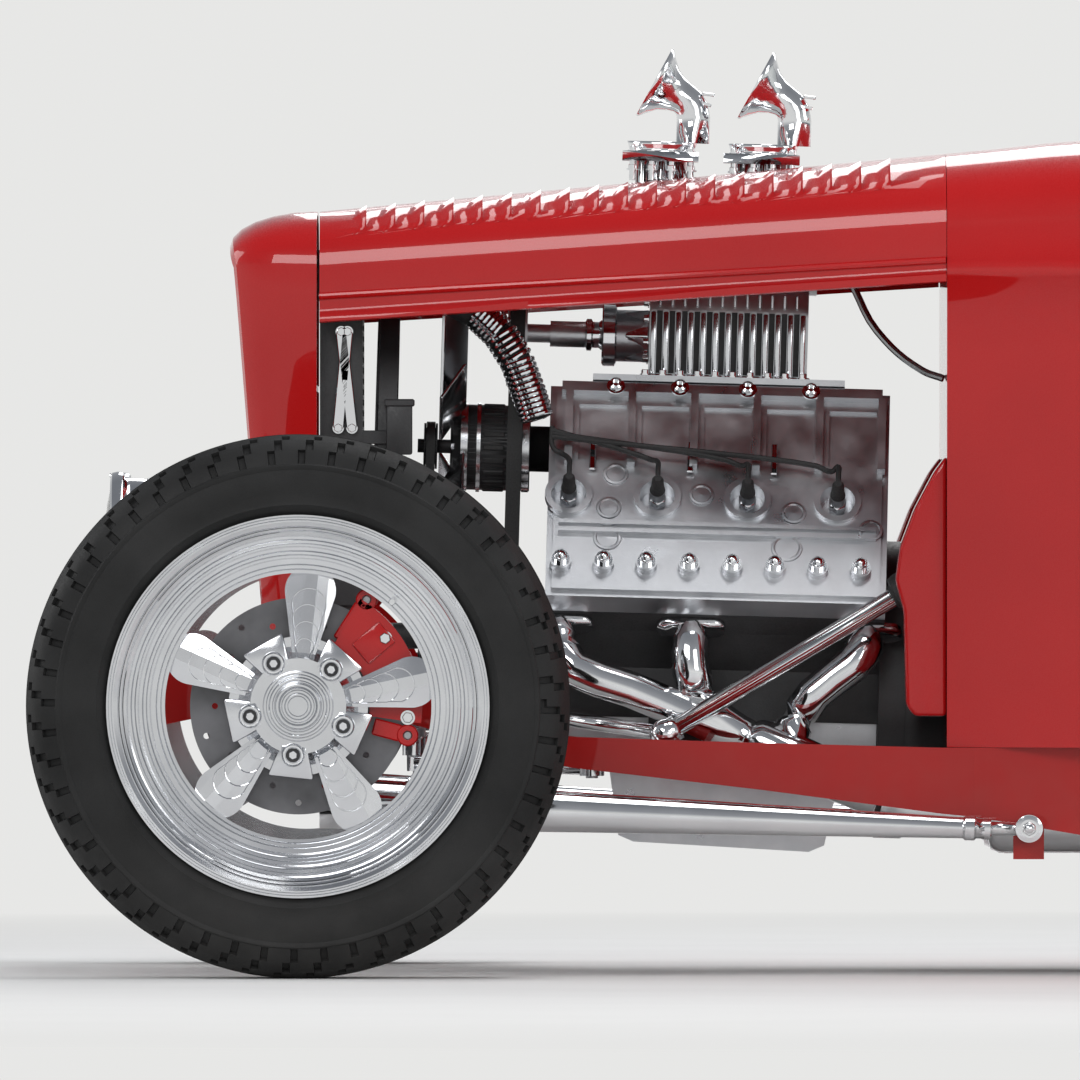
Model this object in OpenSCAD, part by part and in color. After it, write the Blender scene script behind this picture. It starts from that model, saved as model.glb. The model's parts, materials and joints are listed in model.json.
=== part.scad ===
// Open two-seat roadster without wings, its V8 engine open under a louvred hood top.
// Millimetres: +X forward, +Y left, +Z up. The origin is on the ground, midway along the length.

/* [Overall] */
// front axle to rear axle
wheelbase = 2692; // [2640:1:2760]
// between the middle planes of the front wheels
front_track = 1420; // [1400:1:1450]
// between the middle planes of the rear wheels
rear_track = 1480; // [1470:1:1520]
// rear axle to the hindmost point of the tail lamps
tail_overhang = 608; // [600:1:630]

/* [Wheels] */
// outer radius of a front tyre
front_tyre_r = 351; // [345:1:356]
// width of a front tyre
front_tyre_w = 225; // [205:1:230]
// outer radius of a rear tyre
rear_tyre_r = 385; // [375:1:395]
// width of a rear tyre
rear_tyre_w = 290; // [270:1:296]
// radius of a front rim's outer lip
rim_lip_r = 247; // [243:1:250]
// radius of a front tyre's bead seat
bead_r = 229; // [227:1:232]
// height of a rear tyre's sidewall above its rim
rear_sidewall = 138; // [130:1:142]
// depth of the rim's outer step, from the lip to the spokes
rim_step = 72; // [66:1:78]
// spokes in a wheel
spokes = 5; // [4:1:6]

/* [Steering] */
// middle line to a kingpin
kingpin_y = 640; // [634:1:644]
// length of the steering arms and of the pitman arm
arm_len = 150; // [140:1:155]
// height of the tie rod
tie_z = 298; // [296:1:300]
// height of the drag link
drag_z = 268; // [266:1:270]
// radius of the steering wheel
steer_r = 190; // [175:1:200]

/* [Body] */
// thickness of the cowl and tub walls
wall = 24; // [20:1:28]
// thickness of a door
door_t = 45; // [38:1:50]
// gap round a door or the boot lid
seam = 8; // [7:1:9]
// height of the bead round the belt line
bead = 4; // [2:0.5:5]
// thickness of the hood top
hood_t = 6; // [4:0.5:8]
// louvres in each row on the hood
louvres = 19; // [15:1:21]
// half-width of the boot lid
lid_w = 370; // [340:1:390]
// height of the windshield glass
screen_h = 250; // [200:1:290]
// rake of the windshield from upright, in degrees
screen_rake = 24; // [15:1:30]

/* [Engine] */
// slope of the engine, nose up, in degrees
engine_tilt = 1.65; // [1.2:0.05:2]
// fins round the blower
fins = 13; // [9:1:15]
// outer radius of a header pipe
pipe_r = 25; // [22:0.5:27]

/* [Hidden] */
$fn = 48;
ra = wheelbase;
length_all = front_tyre_r + wheelbase + tail_overhang;
front_x = length_all / 2 - front_tyre_r;
front_y = front_track / 2;
rear_y = rear_track / 2;
rear_lip_r = rear_tyre_r - rear_sidewall;
bead_drop = rim_lip_r - bead_r;
tail_u = ra + tail_overhang - 12;
sill_z = 295.4;
door_u0 = 1110;
door_u1 = ra - 922;
door_len = door_u1 - door_u0;
hood_u0 = 23;
cowl_u0 = 842;
cockpit_u1 = ra - 630;
lid_u0 = ra - 500;
lid_u1 = ra + 320;
crank_z = 365;
gear_u1 = 1420;
engine_u = 552;
screen_u = 1070;

// Places are given as distances behind the front axle.
function fx(u) = front_x - u;

// Body table: u, half-width at the sill, half-width at the belt, sill height, belt height,
// crown height, roundness of the shoulder.
BODY = [
  [cowl_u0, 372, 390, sill_z, 932, 1072, 0.5],
  [door_u0, 494, 512, sill_z, 934, 1090, 0.5],
  [door_u0 + 0.23 * door_len, 532, 552, sill_z, 936, 1042, 0.54],
  [door_u0 + 0.515 * door_len, 566, 590, sill_z, 938, 1008, 0.58],
  [door_u1, 596, 628, sill_z, 940, 1003, 0.62],
  [cockpit_u1, 600, 642, sill_z, 938, 1000, 0.66],
  [ra - 290, 588, 632, 300, 920, 972, 0.7],
  [ra, 560, 602, 360, 876, 915, 0.72],
  [ra + 300, 515, 545, 430, 800, 836, 0.74],
  [tail_u - 96, 455, 466, 430, 705, 742, 0.76],
  [tail_u - 26, 415, 417, 430, 630, 664, 0.8],
  [tail_u, 396, 397, 430, 560, 580, 0.85]
];

// Hood table: u, half-width at the lower edge, half-width at the belt, lower edge, belt height,
// crown height, roundness of the shoulder.
HOOD = [
  [hood_u0, 243, 245, 849, 880, 997, 0.5],
  [cowl_u0, 389, 390, 901, 932, 1072, 0.5]
];

// Frame rail table: u, outer half-width, top, bottom.
RAIL = [
  [-300, 300, 330, 285],
  [-200, 320, 385, 320],
  [-80, 340, 415, 345],
  [60, 345, 408, 345],
  [150, 346, 385, 324],
  [351, 350, 309, 269],
  [600, 362, 301, 240],
  [cowl_u0 - 6, 390, 295, 209],
  [cowl_u0 + 35, 395, 295, 205],
  [1014, 420, 295, 182],
  [door_u0 + 0.29 * door_len, 500, 295, 170],
  [door_u1 - 20, 545, 295, 170],
  [ra - 520, 540, 295, 180],
  [ra - 380, 515, 330, 215],
  [ra - 220, 500, rear_tyre_r + 85, rear_tyre_r - 15],
  [ra - 80, 492, rear_tyre_r + 170, rear_tyre_r + 85],
  [ra + 80, 485, rear_tyre_r + 175, rear_tyre_r + 95],
  [ra + 250, 455, rear_tyre_r + 135, rear_tyre_r + 60],
  [ra + 430, 400, rear_tyre_r + 85, rear_tyre_r + 20]
];
rail_w = 50;

// Positions round a section: 0 sill, 1 belt, 2 crown.
STEPS = [0, 0.3, 0.6, 0.8, 0.955, 0.96, 0.995, 1, 1.07, 1.16, 1.28, 1.4, 1.52, 1.64, 1.76, 1.88, 2];
DOOR_STEPS = [0.009, 0.3, 0.6, 0.8, 0.955, 0.96, 0.995, 1, 1.07, 1.16, 1.28];
FILL_STEPS = [0, 0.3, 0.6, 0.8, 1, 1.16, 1.4, 1.64, 2];
HOOD_STEPS = [0, 0.05, 0.35, 0.4, 0.65, 0.7, 1, 1.07, 1.16, 1.28, 1.4, 1.52, 1.64, 1.76, 1.88, 2];

// Smooth curve through one column of a table whose first column is u.
function seg(t, u, i = 0) = i >= len(t) - 2 || u < t[i + 1][0] ? i : seg(t, u, i + 1);
function slope(t, i, c) =
  let(a = max(i - 1, 0), b = min(i + 1, len(t) - 1)) (t[b][c] - t[a][c]) / (t[b][0] - t[a][0]);
function smooth(t, u, c) =
  let(i = seg(t, u), h = t[i + 1][0] - t[i][0], s = (u - t[i][0]) / h)
  let(m0 = slope(t, i, c) * h, m1 = slope(t, i + 1, c) * h)
  t[i][c] * (2 * s * s * s - 3 * s * s + 1) + m0 * (s * s * s - 2 * s * s + s)
  + t[i + 1][c] * (3 * s * s - 2 * s * s * s) + m1 * (s * s * s - s * s);

// One point [y, z] of a section at u.
function skin(t, u, p) =
  let(ys = smooth(t, u, 1), yb = smooth(t, u, 2), zs = smooth(t, u, 3), zb = smooth(t, u, 4))
  let(zc = smooth(t, u, 5), e = smooth(t, u, 6), q = 90 * (p - 1))
  p <= 1
    ? [ys + (yb - ys) * sin(90 * p) + (p > 0.957 && p < 0.997 ? bead : 0), zs + (zb - zs) * p]
    : [yb * pow(max(cos(q), 0), e), zb + (zc - zb) * pow(sin(q), e)];
// Height of the skin above a point y off the middle line.
function skin_z(t, u, y) =
  let(yb = smooth(t, u, 2), zb = smooth(t, u, 4), zc = smooth(t, u, 5), n = 2 / smooth(t, u, 6))
  zb + (zc - zb) * pow(max(1 - pow(min(abs(y) / yb, 1), n), 0), 1 / n);
// Half-width of the body side at a height under the belt.
function side_y(u, z) =
  let(zs = smooth(BODY, u, 3), zb = smooth(BODY, u, 4), p = max(min((z - zs) / (zb - zs), 1), 0))
  smooth(BODY, u, 1) + (smooth(BODY, u, 2) - smooth(BODY, u, 1)) * sin(90 * p);
function half(t, u, steps) = [for (p = steps) skin(t, u, p)];
function mirrored(h) = concat(h, [for (i = [len(h) - 2:-1:0]) [-h[i][0], h[i][1]]]);
function inward(h, d) = [
  for (i = [0:len(h) - 1])
    let(t = h[min(i + 1, len(h) - 1)] - h[max(i - 1, 0)], n = t / norm(t)) h[i] + d * [-n[1], n[0]]
];
function at_u(u, ring) = [for (p = ring) [fx(u), p[0], p[1]]];
function flat(l) = [for (a = l) for (b = a) b];
function span(a, b, n) = [for (i = [0:n]) a + (b - a) * i / n];
function hood_half(u, steps) = [for (p = steps) skin(HOOD, u, p) + [p > 0.02 && p < 0.37 ? bead : 0, 0]];

// A sheet between two sets of sections; each section is a path of equal length.
module sheet(outer, inner) {
  m = len(outer);
  n = len(outer[0]);
  k = m * n;
  quads = concat(
    [for (i = [0:m - 2]) for (j = [0:n - 2]) [i * n + j, i * n + j + 1, i * n + n + j + 1, i * n + n + j]],
    [for (i = [0:m - 2]) for (j = [0:n - 2])
      [k + i * n + j, k + i * n + n + j, k + i * n + n + j + 1, k + i * n + j + 1]],
    [for (j = [0:n - 2]) [j + 1, j, k + j, k + j + 1]],
    [for (j = [0:n - 2]) [k - n + j, k - n + j + 1, 2 * k - n + j + 1, 2 * k - n + j]],
    [for (i = [0:m - 2]) [i * n, i * n + n, k + i * n + n, k + i * n]],
    [for (i = [0:m - 2]) [i * n + n + n - 1, i * n + n - 1, k + i * n + n - 1, k + i * n + n + n - 1]]
  );
  polyhedron(concat(flat(outer), flat(inner)), [for (q = quads) for (c = [1, 2]) [q[0], q[c], q[c + 1]]]);
}

// A closed tube through rings of equal length; the end caps are fans.
module rings(list) {
  m = len(list);
  n = len(list[0]);
  sides = flat([for (i = [0:m - 2]) for (j = [0:n - 1])
    let(a = i * n + j, b = i * n + (j + 1) % n, c = b + n, d = a + n) [[a, b, c], [a, c, d]]]);
  ends = flat([for (j = [1:n - 2]) [[0, j + 1, j], [(m - 1) * n, (m - 1) * n + j, (m - 1) * n + j + 1]]]);
  polyhedron(flat(list), concat(sides, ends));
}

// A round pipe along a path; one radius, or a list with one for each point.
function unit(v) = v / norm(v);
module pipe(path, r, n = 12) {
  rings([for (i = [0:len(path) - 1])
    let(t = unit(path[min(i + 1, len(path) - 1)] - path[max(i - 1, 0)]), q = is_list(r) ? r[i] : r)
    let(a = unit(cross(t, abs(t[2]) < 0.9 ? [0, 0, 1] : [0, 1, 0])), b = cross(t, a))
    [for (j = [0:n - 1]) path[i] + q * (cos(360 * j / n) * a - sin(360 * j / n) * b)]]);
}
// Smooth path through a few points.
function bend(p, n = 4) = concat(
  flat([for (i = [0:len(p) - 2])
    let(a = p[i], b = p[i + 1], ma = (b - p[max(i - 1, 0)]) / 2, mb = (p[min(i + 2, len(p) - 1)] - a) / 2)
    [for (k = [0:n - 1]) let(s = k / n)
      a * (2 * s * s * s - 3 * s * s + 1) + ma * (s * s * s - 2 * s * s + s)
      + b * (3 * s * s - 2 * s * s * s) + mb * (s * s * s - s * s)]]),
  [p[len(p) - 1]]);

// A straight bar between two points.
module bar(a, b, r1, r2) {
  v = b - a;
  translate(a) rotate([0, acos(v[2] / norm(v)), atan2(v[1], v[0])]) cylinder(r1 = r1, r2 = r2, h = norm(v));
}
module both() {
  children();
  mirror([0, 1, 0]) children();
}
module box(lo, hi) {
  translate(lo) cube(hi - lo);
}
module along_y(y0, y1, r, rr = 0) {
  translate([0, y0, 0]) rotate([-90, 0, 0]) cylinder(r1 = r, r2 = rr > 0 ? rr : r, h = y1 - y0);
}
module along_x(x0, x1, r, rr = 0) {
  translate([x0, 0, 0]) rotate([0, 90, 0]) cylinder(r1 = r, r2 = rr > 0 ? rr : r, h = x1 - x0);
}

PAINT = [0.62, 0.03, 0.03];
CHROME = [0.8, 0.8, 0.82];
ALLOY = [0.72, 0.73, 0.75];
IRON = [0.12, 0.12, 0.13];
STEEL = [0.45, 0.46, 0.48];
RUBBER = [0.04, 0.04, 0.04];
GLASS = [0.75, 0.85, 0.9, 0.4];

// Frame: two rails and their crossmembers.
function rail_ring(r) = [
  [fx(r[0]), r[1], r[3]], [fx(r[0]), r[1], r[2]],
  [fx(r[0]), r[1] - rail_w, r[2]], [fx(r[0]), r[1] - rail_w, r[3]]
];
rod_eye = [948, 425, 190];
spring_z = 350;
link_eye = [ra - 640, 440, 235];
centre_u = gear_u1 + 0.41 * (link_eye[0] - gear_u1);
cross_z = rear_tyre_r + 129;
bumper_pitch = 66;
bumper_hole = 5.5;
module frame() {
  color(PAINT) {
    both() rings([for (r = RAIL) rail_ring(r)]);
    // front crossmember over the spring, engine crossmember, centre and rear crossmembers
    box([fx(60), -305, spring_z], [fx(-60), 305, spring_z + 55]);
    box([fx(1060), -170, 205], [fx(1000), 170, 228]);
    box([fx(centre_u + 30), -505, 262], [fx(centre_u - 30), 505, 292]);
    box([fx(ra + 35), -445, cross_z], [fx(ra - 45), 445, cross_z + 40]);
    box([fx(ra + 420), -365, tank_z + 0.3], [fx(ra + 380), 365, tank_z + 40]);
    both() {
      box([fx(1060), 150, 205], [fx(1000), 170, 292]);
      box([fx(1060), 150, 270], [fx(1000), 385, 292]);
      // engine mounting pads and the brackets that hold the radius rods, ladder bars and lamp bar
      box([fx(520), 150.5, 268], [fx(460), 330, 287.5]);
      box([fx(rod_eye[0] + 20), 380, 150], [fx(rod_eye[0] - 20), 404, 230]);
      translate([fx(rod_eye[0]), 0, rod_eye[2]]) along_y(400, rod_eye[1] + 16, 6.2);
      box([fx(link_eye[0] + 25), 500, 190], [fx(link_eye[0] - 25), 520, 270]);
      translate([fx(link_eye[0]), 0, link_eye[2]]) along_y(link_eye[1] - 22, 505, 8);
      box([fx(-215), 282, 330], [fx(-245), 298, 452]);
      // bumper plate on the horn, with two bolt holes
      difference() {
        box([fx(-298), 252, 307 - bumper_pitch / 2 - 16], [fx(-306), 302, 307 + bumper_pitch / 2 + 16]);
        for (z = [307 - bumper_pitch / 2, 307 + bumper_pitch / 2])
          translate([0, 277, z]) along_x(fx(-290), fx(-310), bumper_hole);
      }
    }
  }
}

module front_axle() {
  color(CHROME) translate([fx(0), 0, 0]) {
    difference() {
      translate([25, 0, 0]) rotate([90, 0, -90]) linear_extrude(50)
        polygon([for (m = [-1, 1]) for (p = m < 0
          ? [[-kingpin_y, 326], [-kingpin_y + 50, 326], [-430, 212], [430, 212], [kingpin_y - 50, 326],
            [kingpin_y, 326]]
          : [[kingpin_y, 376], [kingpin_y - 70, 376], [420, 272], [-420, 272], [-kingpin_y + 70, 376],
            [-kingpin_y, 376]])
          p]);
      for (m = [-1, 1]) translate([m * 25, 0, 242]) cube([22, 2 * 395, 32], center = true);
      both() translate([0, kingpin_y, 300]) cylinder(r = 24, h = 110);
    }
    both() difference() {
      translate([0, kingpin_y, front_tyre_r - 36]) cylinder(r = 25, h = 72);
      translate([0, kingpin_y, front_tyre_r - 40]) cylinder(r = 11.2, h = 80);
    }
  }
}

// Transverse leaf spring under the crossmember, hung on the axle by shackles.
module front_spring() {
  color(STEEL) translate([fx(0), 0, 0]) {
    for (i = [0:4]) {
      w = 390 - 70 * i;
      arc = [for (k = [-1, -0.5, 0, 0.5, 1]) [k * w, spring_z - 9.5 * i - 0.00034 * k * k * w * w]];
      translate([22, 0, 0]) rotate([90, 0, -90]) linear_extrude(44)
        polygon(concat(arc, [for (k = [4:-1:0]) arc[k] - [0, 9.5]]));
    }
    box([-30, -45, 300], [30, 45, 312]);
    both() box([-20, 380, 272.3], [20, 396, 300]);
  }
}

// Tapered radius rods from the axle back to the frame.
module radius_rods() {
  color(CHROME) both() {
    difference() {
      union() {
        bar([fx(25.3), 430, 225], [fx(890), 425, 190], 35, 13);
        bar([fx(880), 425, 190], [fx(935), 425, 190], 9, 9);
        translate([fx(rod_eye[0]), 0, rod_eye[2]]) along_y(rod_eye[1] - 13, rod_eye[1] + 13, 18);
      }
      translate([fx(rod_eye[0]), 0, rod_eye[2]]) along_y(390, 460, 6.5);
      box([fx(25.3), 350, 150], [fx(-60), 520, 300]);
    }
  }
}

module rear_axle() {
  color(IRON) translate([fx(ra), 0, rear_tyre_r]) {
    both() {
      along_y(0, rear_y - 45, 38);
      along_y(rear_y - 62, rear_y - 45, rear_lip_r - 97);
      along_y(rear_y - 46, rear_y + 60, 18);
      box([-40, link_eye[1] - 60, -70], [40, link_eye[1] - 44, 20]);
    }
    sphere(r = 125);
    along_x(60, 230, 70, 45);
    along_x(-140, -60, 80, 110);
  }
}

// Coil-over dampers and ladder bars.
module rear_suspension() {
  color(CHROME) both() {
    // damper on the axle tube, its coil, and its top under the crossmember
    translate([fx(ra), 330, rear_tyre_r + 38.3]) {
      cylinder(r = 14, h = cross_z - 0.3 - rear_tyre_r - 38.3);
      translate([0, 0, 7]) cylinder(r = 32, h = 8);
      translate([0, 0, cross_z - rear_tyre_r - 52]) cylinder(r = 30, h = 8);
    }
    for (i = [0:4]) translate([fx(ra), 330, rear_tyre_r + 58.6 + 10.3 * i])
      rotate_extrude() translate([27, 0]) circle(r = 5);
    // ladder bar
    difference() {
      union() {
        bar([fx(ra - 36), link_eye[1] - 24, rear_tyre_r - 40],
          [fx(link_eye[0] + 10), link_eye[1], link_eye[2] + 4], 17, 17);
        translate([fx(link_eye[0]), 0, link_eye[2]]) along_y(link_eye[1] - 20, link_eye[1] + 20, 24);
        box([fx(ra + 36), link_eye[1] - 43.7, rear_tyre_r - 66],
          [fx(ra - 50), link_eye[1] - 22, rear_tyre_r - 14]);
      }
      translate([fx(link_eye[0]), 0, link_eye[2]]) along_y(link_eye[1] - 30, link_eye[1] + 40, 8.3);
      translate([fx(ra), 0, rear_tyre_r]) along_y(0, rear_y, 38.3);
    }
  }
}

// Fuel tank under the rear crossmember.
tank_z = rear_tyre_r + 34.7;
module fuel_tank() {
  color(PAINT) translate([0, 340, 0]) rotate([90, 0, 0]) linear_extrude(680) {
    translate([fx(tail_u - 70), tank_z - 80]) square([220, 80]);
    translate([fx(tail_u - 70), tank_z - 110]) square([220, 60]);
    for (u = [tail_u - 70, tail_u - 290]) translate([fx(u), tank_z - 70]) circle(r = 40);
  }
}

// Grille shell: a curved lip swept round the outline of the radiator opening.
shell_z = spring_z + 55.4;
function shell_outline() =
  let(top = [for (p = [1, 1.1, 1.2, 1.35, 1.5, 1.65, 1.8, 1.9]) skin(HOOD, hood_u0, p)])
  let(side = concat(
    [for (a = [0:30:90]) [150 + 40 * sin(a), shell_z + 40 - 40 * cos(a)]],
    [for (s = [0.2:0.2:0.8]) [190 + 55 * s, shell_z + 40 + (840 - shell_z) * s]],
    top))
  concat([[0, shell_z]], side, [[0, 997]], [for (i = [len(side) - 1:-1:0]) [-side[i][0], side[i][1]]]);
function shell_depth(z) = 68 + 42 * max(z - shell_z, 0) / 535;
lip = 46;
module grille_shell() {
  o = shell_outline();
  n = len(o);
  profile = [for (a = [0:15:90]) [sin(a), 1 - cos(a)]];
  back = [for (a = [90:-15:0]) [sin(a), 1 - cos(a)]];
  list = [for (i = [0:n - 1])
    let(t = o[(i + 1) % n] - o[(i + n - 1) % n], m = [-t[1], t[0]] / norm(t), d = shell_depth(o[i][1]))
    concat(
      [for (p = profile) let(e = o[i] + m * p[1] * lip) [fx(20) + p[0] * d, e[0], e[1]]],
      [for (p = back) let(e = o[i] + m * (p[1] * (lip - 5) + 5)) [fx(20) + p[0] * (d - 5), e[0], e[1]]])];
  k = len(list[0]);
  color(PAINT) polyhedron(flat(list), [for (i = [0:n - 1]) for (j = [0:k - 1])
    let(next = (i + 1) % n, a = i * k + j, b = i * k + (j + 1) % k)
    let(c = next * k + (j + 1) % k, d = next * k + j)
    for (f = [[a, c, b], [a, d, c]]) f]);
}

// Upright bars behind the lip of the shell.
module grille_bars() {
  e = shell_outline();
  n = len(e);
  o = [for (i = [0:n - 1]) let(t = e[(i + 1) % n] - e[(i + n - 1) % n]) e[i] + 7 * [-t[1], t[0]] / norm(t)];
  color(CHROME) translate([fx(17), 0, 0]) rotate([90, 0, 90]) {
    linear_extrude(14) intersection() {
      polygon(o);
      union() for (i = [-14:14]) translate([i * 16 - 2.5, 380]) square([5, 640]);
    }
    translate([0, 0, -3]) linear_extrude(6) intersection() {
      polygon(o);
      union() for (z = [430, 590, 760, 925]) translate([-260, z]) square([520, 8]);
    }
  }
}

module radiator() {
  color(IRON) difference() {
    union() {
      box([fx(80), -190, 480], [fx(24), 190, 880]);
      box([fx(86), -200, 880], [fx(21), 200, 945]);
      box([fx(86), -185, 405.3], [fx(21), 185, 480]);
    }
    for (z = [490:14:870]) box([fx(90), -170, z], [fx(74), 170, z + 8]);
  }
}

// Hood top: a thin sheet with rows of louvres and two holes for the carburettors.
CARB_U = [452, 585];
module louvre(u) {
  w = smooth(HOOD, u, 2);
  hull() for (k = [-1, 0, 1]) {
    y = (0.8 + 0.13 * k) * w;
    translate([fx(u), y, skin_z(HOOD, u, y)]) rotate([90, 0, 0])
      linear_extrude(1) polygon([[10 - 2 * abs(k), -2], [-9, 10 - 2 * abs(k)], [-9, -2]]);
  }
}
module hood() {
  us = span(hood_u0 + 0.8, cowl_u0 - 0.8, 3);
  rows = [for (u = us) mirrored(hood_half(u, HOOD_STEPS))];
  color(PAINT) {
    difference() {
      sheet([for (i = [0:3]) at_u(us[i], rows[i])], [for (i = [0:3]) at_u(us[i], inward(rows[i], hood_t))]);
      for (u = CARB_U) translate([fx(u), 0, 960]) cylinder(r = 62, h = 140, $fn = 40);
    }
    both() for (i = [0:louvres - 1]) louvre(76 + i * 684 / (louvres - 1));
  }
}

// Cowl: sides and top between the hood and the doors.
module cowl() {
  us = span(cowl_u0, door_u0, 4);
  rows = [for (u = us) mirrored(half(BODY, u, STEPS))];
  color(PAINT)
    sheet([for (i = [0:4]) at_u(us[i], rows[i])], [for (i = [0:4]) at_u(us[i], inward(rows[i], wall))]);
}

// Firewall: a flat panel inside the front of the cowl, with a tunnel cut for the gearbox.
module firewall() {
  o = inward(mirrored(half(BODY, cowl_u0, STEPS)), wall + 0.6);
  color(PAINT) difference() {
    translate([fx(cowl_u0 + 12), 0, 0]) rotate([90, 0, 90]) linear_extrude(12) polygon(o);
    translate([fx(cowl_u0 + 50), 0, crank_z - 10]) along_x(0, 100, 205);
    box([fx(cowl_u0 + 50), -205, 200], [fx(cowl_u0 - 50), 205, crank_z]);
    translate([fx(cowl_u0), steer_y, shaft_z(cowl_u0)]) along_x(-60, 60, 34);
  }
}

// Floor with a toe board and a tunnel over the gearbox.
floor_u1 = cockpit_u1 + 28;
module floor() {
  us = span(cowl_u0 + 14, floor_u1 - 1, 12);
  edge = [for (u = us) let(beside = u > door_u0 - 95 && u < door_u1 + 95)
    [fx(u), smooth(BODY, u, 1) - (beside ? door_t + 2 * seam : wall) - 0.6]];
  color(IRON) difference() {
    union() {
      translate([0, 0, sill_z]) linear_extrude(12)
        polygon(concat(edge, [for (i = [len(edge) - 1:-1:0]) [edge[i][0], -edge[i][1]]]));
      translate([0, 330, 0]) rotate([90, 0, 0]) linear_extrude(660)
        polygon([[fx(cowl_u0 + 14), 520], [fx(cowl_u0 + 14), 508], [fx(1060), 300], [fx(1075), 300]]);
      tunnel(10, 0);
    }
    tunnel(0, 5);
    box([fx(floor_u1 + 20), -600, 0], [fx(cowl_u0 - 20), 600, sill_z]);
  }
}
// Tunnel over the gearbox and drive shaft, grown outward by g and, as a cut, lengthened by e.
shaft_tunnel = [352, 80];
module tunnel(g, e) {
  translate([0, 0, crank_z - 10]) {
    along_x(fx(gear_u1 - 300), fx(cowl_u0 + 14 - e), 160 + g, 200 + g);
    along_x(fx(gear_u1 + e), fx(gear_u1 - 301), 90 + g, 160 + g);
  }
  translate([0, 0, shaft_tunnel[0]]) along_x(fx(floor_u1 - 1 + e), fx(gear_u1 - 20), shaft_tunnel[1] + g);
  if (e > 0) {
    box([fx(gear_u1 - 300), -150 - g, 0], [fx(cowl_u0 - 20), 150 + g, crank_z - 12]);
    box([fx(gear_u1), -74 - g, 0], [fx(gear_u1 - 301), 74 + g, crank_z - 12]);
    half_w = shaft_tunnel[1] - 15 + g;
    box([fx(floor_u1 + 20), -half_w, 0], [fx(gear_u1 - 20), half_w, shaft_tunnel[0]]);
  }
}

// Doors: as thick as the whole wall, with a strap and eye round each hinge pin.
hinge_y = smooth(BODY, door_u0, 2) + bead + 12;
HINGE_Z = [450, 840];
module door() {
  us = span(door_u0 + seam, door_u1 - seam, 6);
  rows = [for (u = us) half(BODY, u, DOOR_STEPS)];
  color(PAINT) {
    sheet([for (i = [0:6]) at_u(us[i], rows[i])], [for (i = [0:6]) at_u(us[i], inward(rows[i], door_t))]);
    for (z = HINGE_Z) translate([fx(door_u0), hinge_y, z]) difference() {
      union() {
        translate([0, 0, -14]) cylinder(r = 11, h = 28);
        box([-45, side_y(door_u0 + seam, z) - 12 - hinge_y, -14], [-seam - 3, -2, 14]);
        box([-45, -9, -14], [0, -2, 14]);
      }
      translate([0, 0, -20]) cylinder(r = 6.15, h = 40);
      box([-100, -80, -20], [0, side_y(door_u0 + seam, z) - door_t / 2 - hinge_y, 20]);
    }
  }
}
module door_left() door();
module door_right() mirror([0, 1, 0]) door();

// Tub behind the doors: quarters, deck, tail, wheelhouses, bulkhead and boot floor.
arch_r = rear_tyre_r + 45;
house_y = rear_y - rear_tyre_w / 2 - 58;
boot_z = cross_z + 76;
function inner_y(u, z) = side_y(u, z) - wall / 2;
module rear_body() {
  list = concat(span(door_u1, ra + 200, 8), span(ra + 300, tail_u, 5));
  rows = [for (u = list) mirrored(half(BODY, u, STEPS))];
  m = len(list) - 1;
  color(PAINT) {
    difference() {
      union() {
        sheet([for (i = [0:m]) at_u(list[i], rows[i])],
          [for (i = [0:m]) at_u(list[i], inward(rows[i], wall))]);
        // wheelhouse drums and their inner walls
        both() intersection() {
          translate([fx(ra), 0, rear_tyre_r]) along_y(house_y - 8, 900, arch_r + 8, $fn = 56);
          rings([for (u = list) at_u(u, inward(mirrored(half(BODY, u, FILL_STEPS)), wall / 2))]);
          box([fx(ra + 470), 0, rear_tyre_r + 88], [fx(ra - 470), 640, 900]);
        }
      }
      // cockpit opening with round rear corners
      hull() {
        both() translate([fx(cockpit_u1 - 80), 495, 900]) cylinder(r = 80, h = 200);
        both() box([fx(door_u1 + 20), 500, 900], [fx(door_u1 - 20), 575, 1100]);
      }
      // boot lid opening
      box([fx(lid_u1 + seam), -lid_w - seam, 680], [fx(lid_u0 - seam), lid_w + seam, 1100]);
      both() translate([fx(ra), 0, rear_tyre_r]) along_y(house_y, 900, arch_r, $fn = 56);
      both() box([fx(ra + 300), 470, 200], [fx(ra - 300), 900, rear_tyre_r + 88]);
    }
    // bulkhead behind the seat, boot floor and the lower rear panel
    zs = span(sill_z + 14, 950, 6);
    difference() {
      for (i = [0:5]) hull() for (z = [zs[i], zs[i + 1]]) {
        w = inner_y(floor_u1, z);
        box([fx(floor_u1 + 8), -w, z], [fx(floor_u1), w, z + 8]);
      }
      translate([fx(floor_u1), 0, shaft_tunnel[0]]) {
        along_x(-20, 10, shaft_tunnel[1]);
        box([-20, 1 - shaft_tunnel[1], -shaft_tunnel[0]], [20, shaft_tunnel[1] - 1, 0]);
      }
    }
    fu = [floor_u1, ra - 430, ra - 420, ra + 420, ra + 430, tail_u - 60, tail_u - 40];
    for (i = [0:5]) hull() for (k = [0, 1]) {
      u = fu[i + k];
      w = min(inner_y(u, boot_z), abs(u - ra) < 425 ? house_y - 3 : 1000);
      box([fx(u + 2), -w, boot_z], [fx(u), w, boot_z + 10]);
    }
    translate([fx(tail_u - 2), 0, 0]) rotate([90, 0, 90]) linear_extrude(10)
      polygon(inward(mirrored(half(BODY, tail_u - 2, FILL_STEPS)), 7));
  }
}

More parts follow.
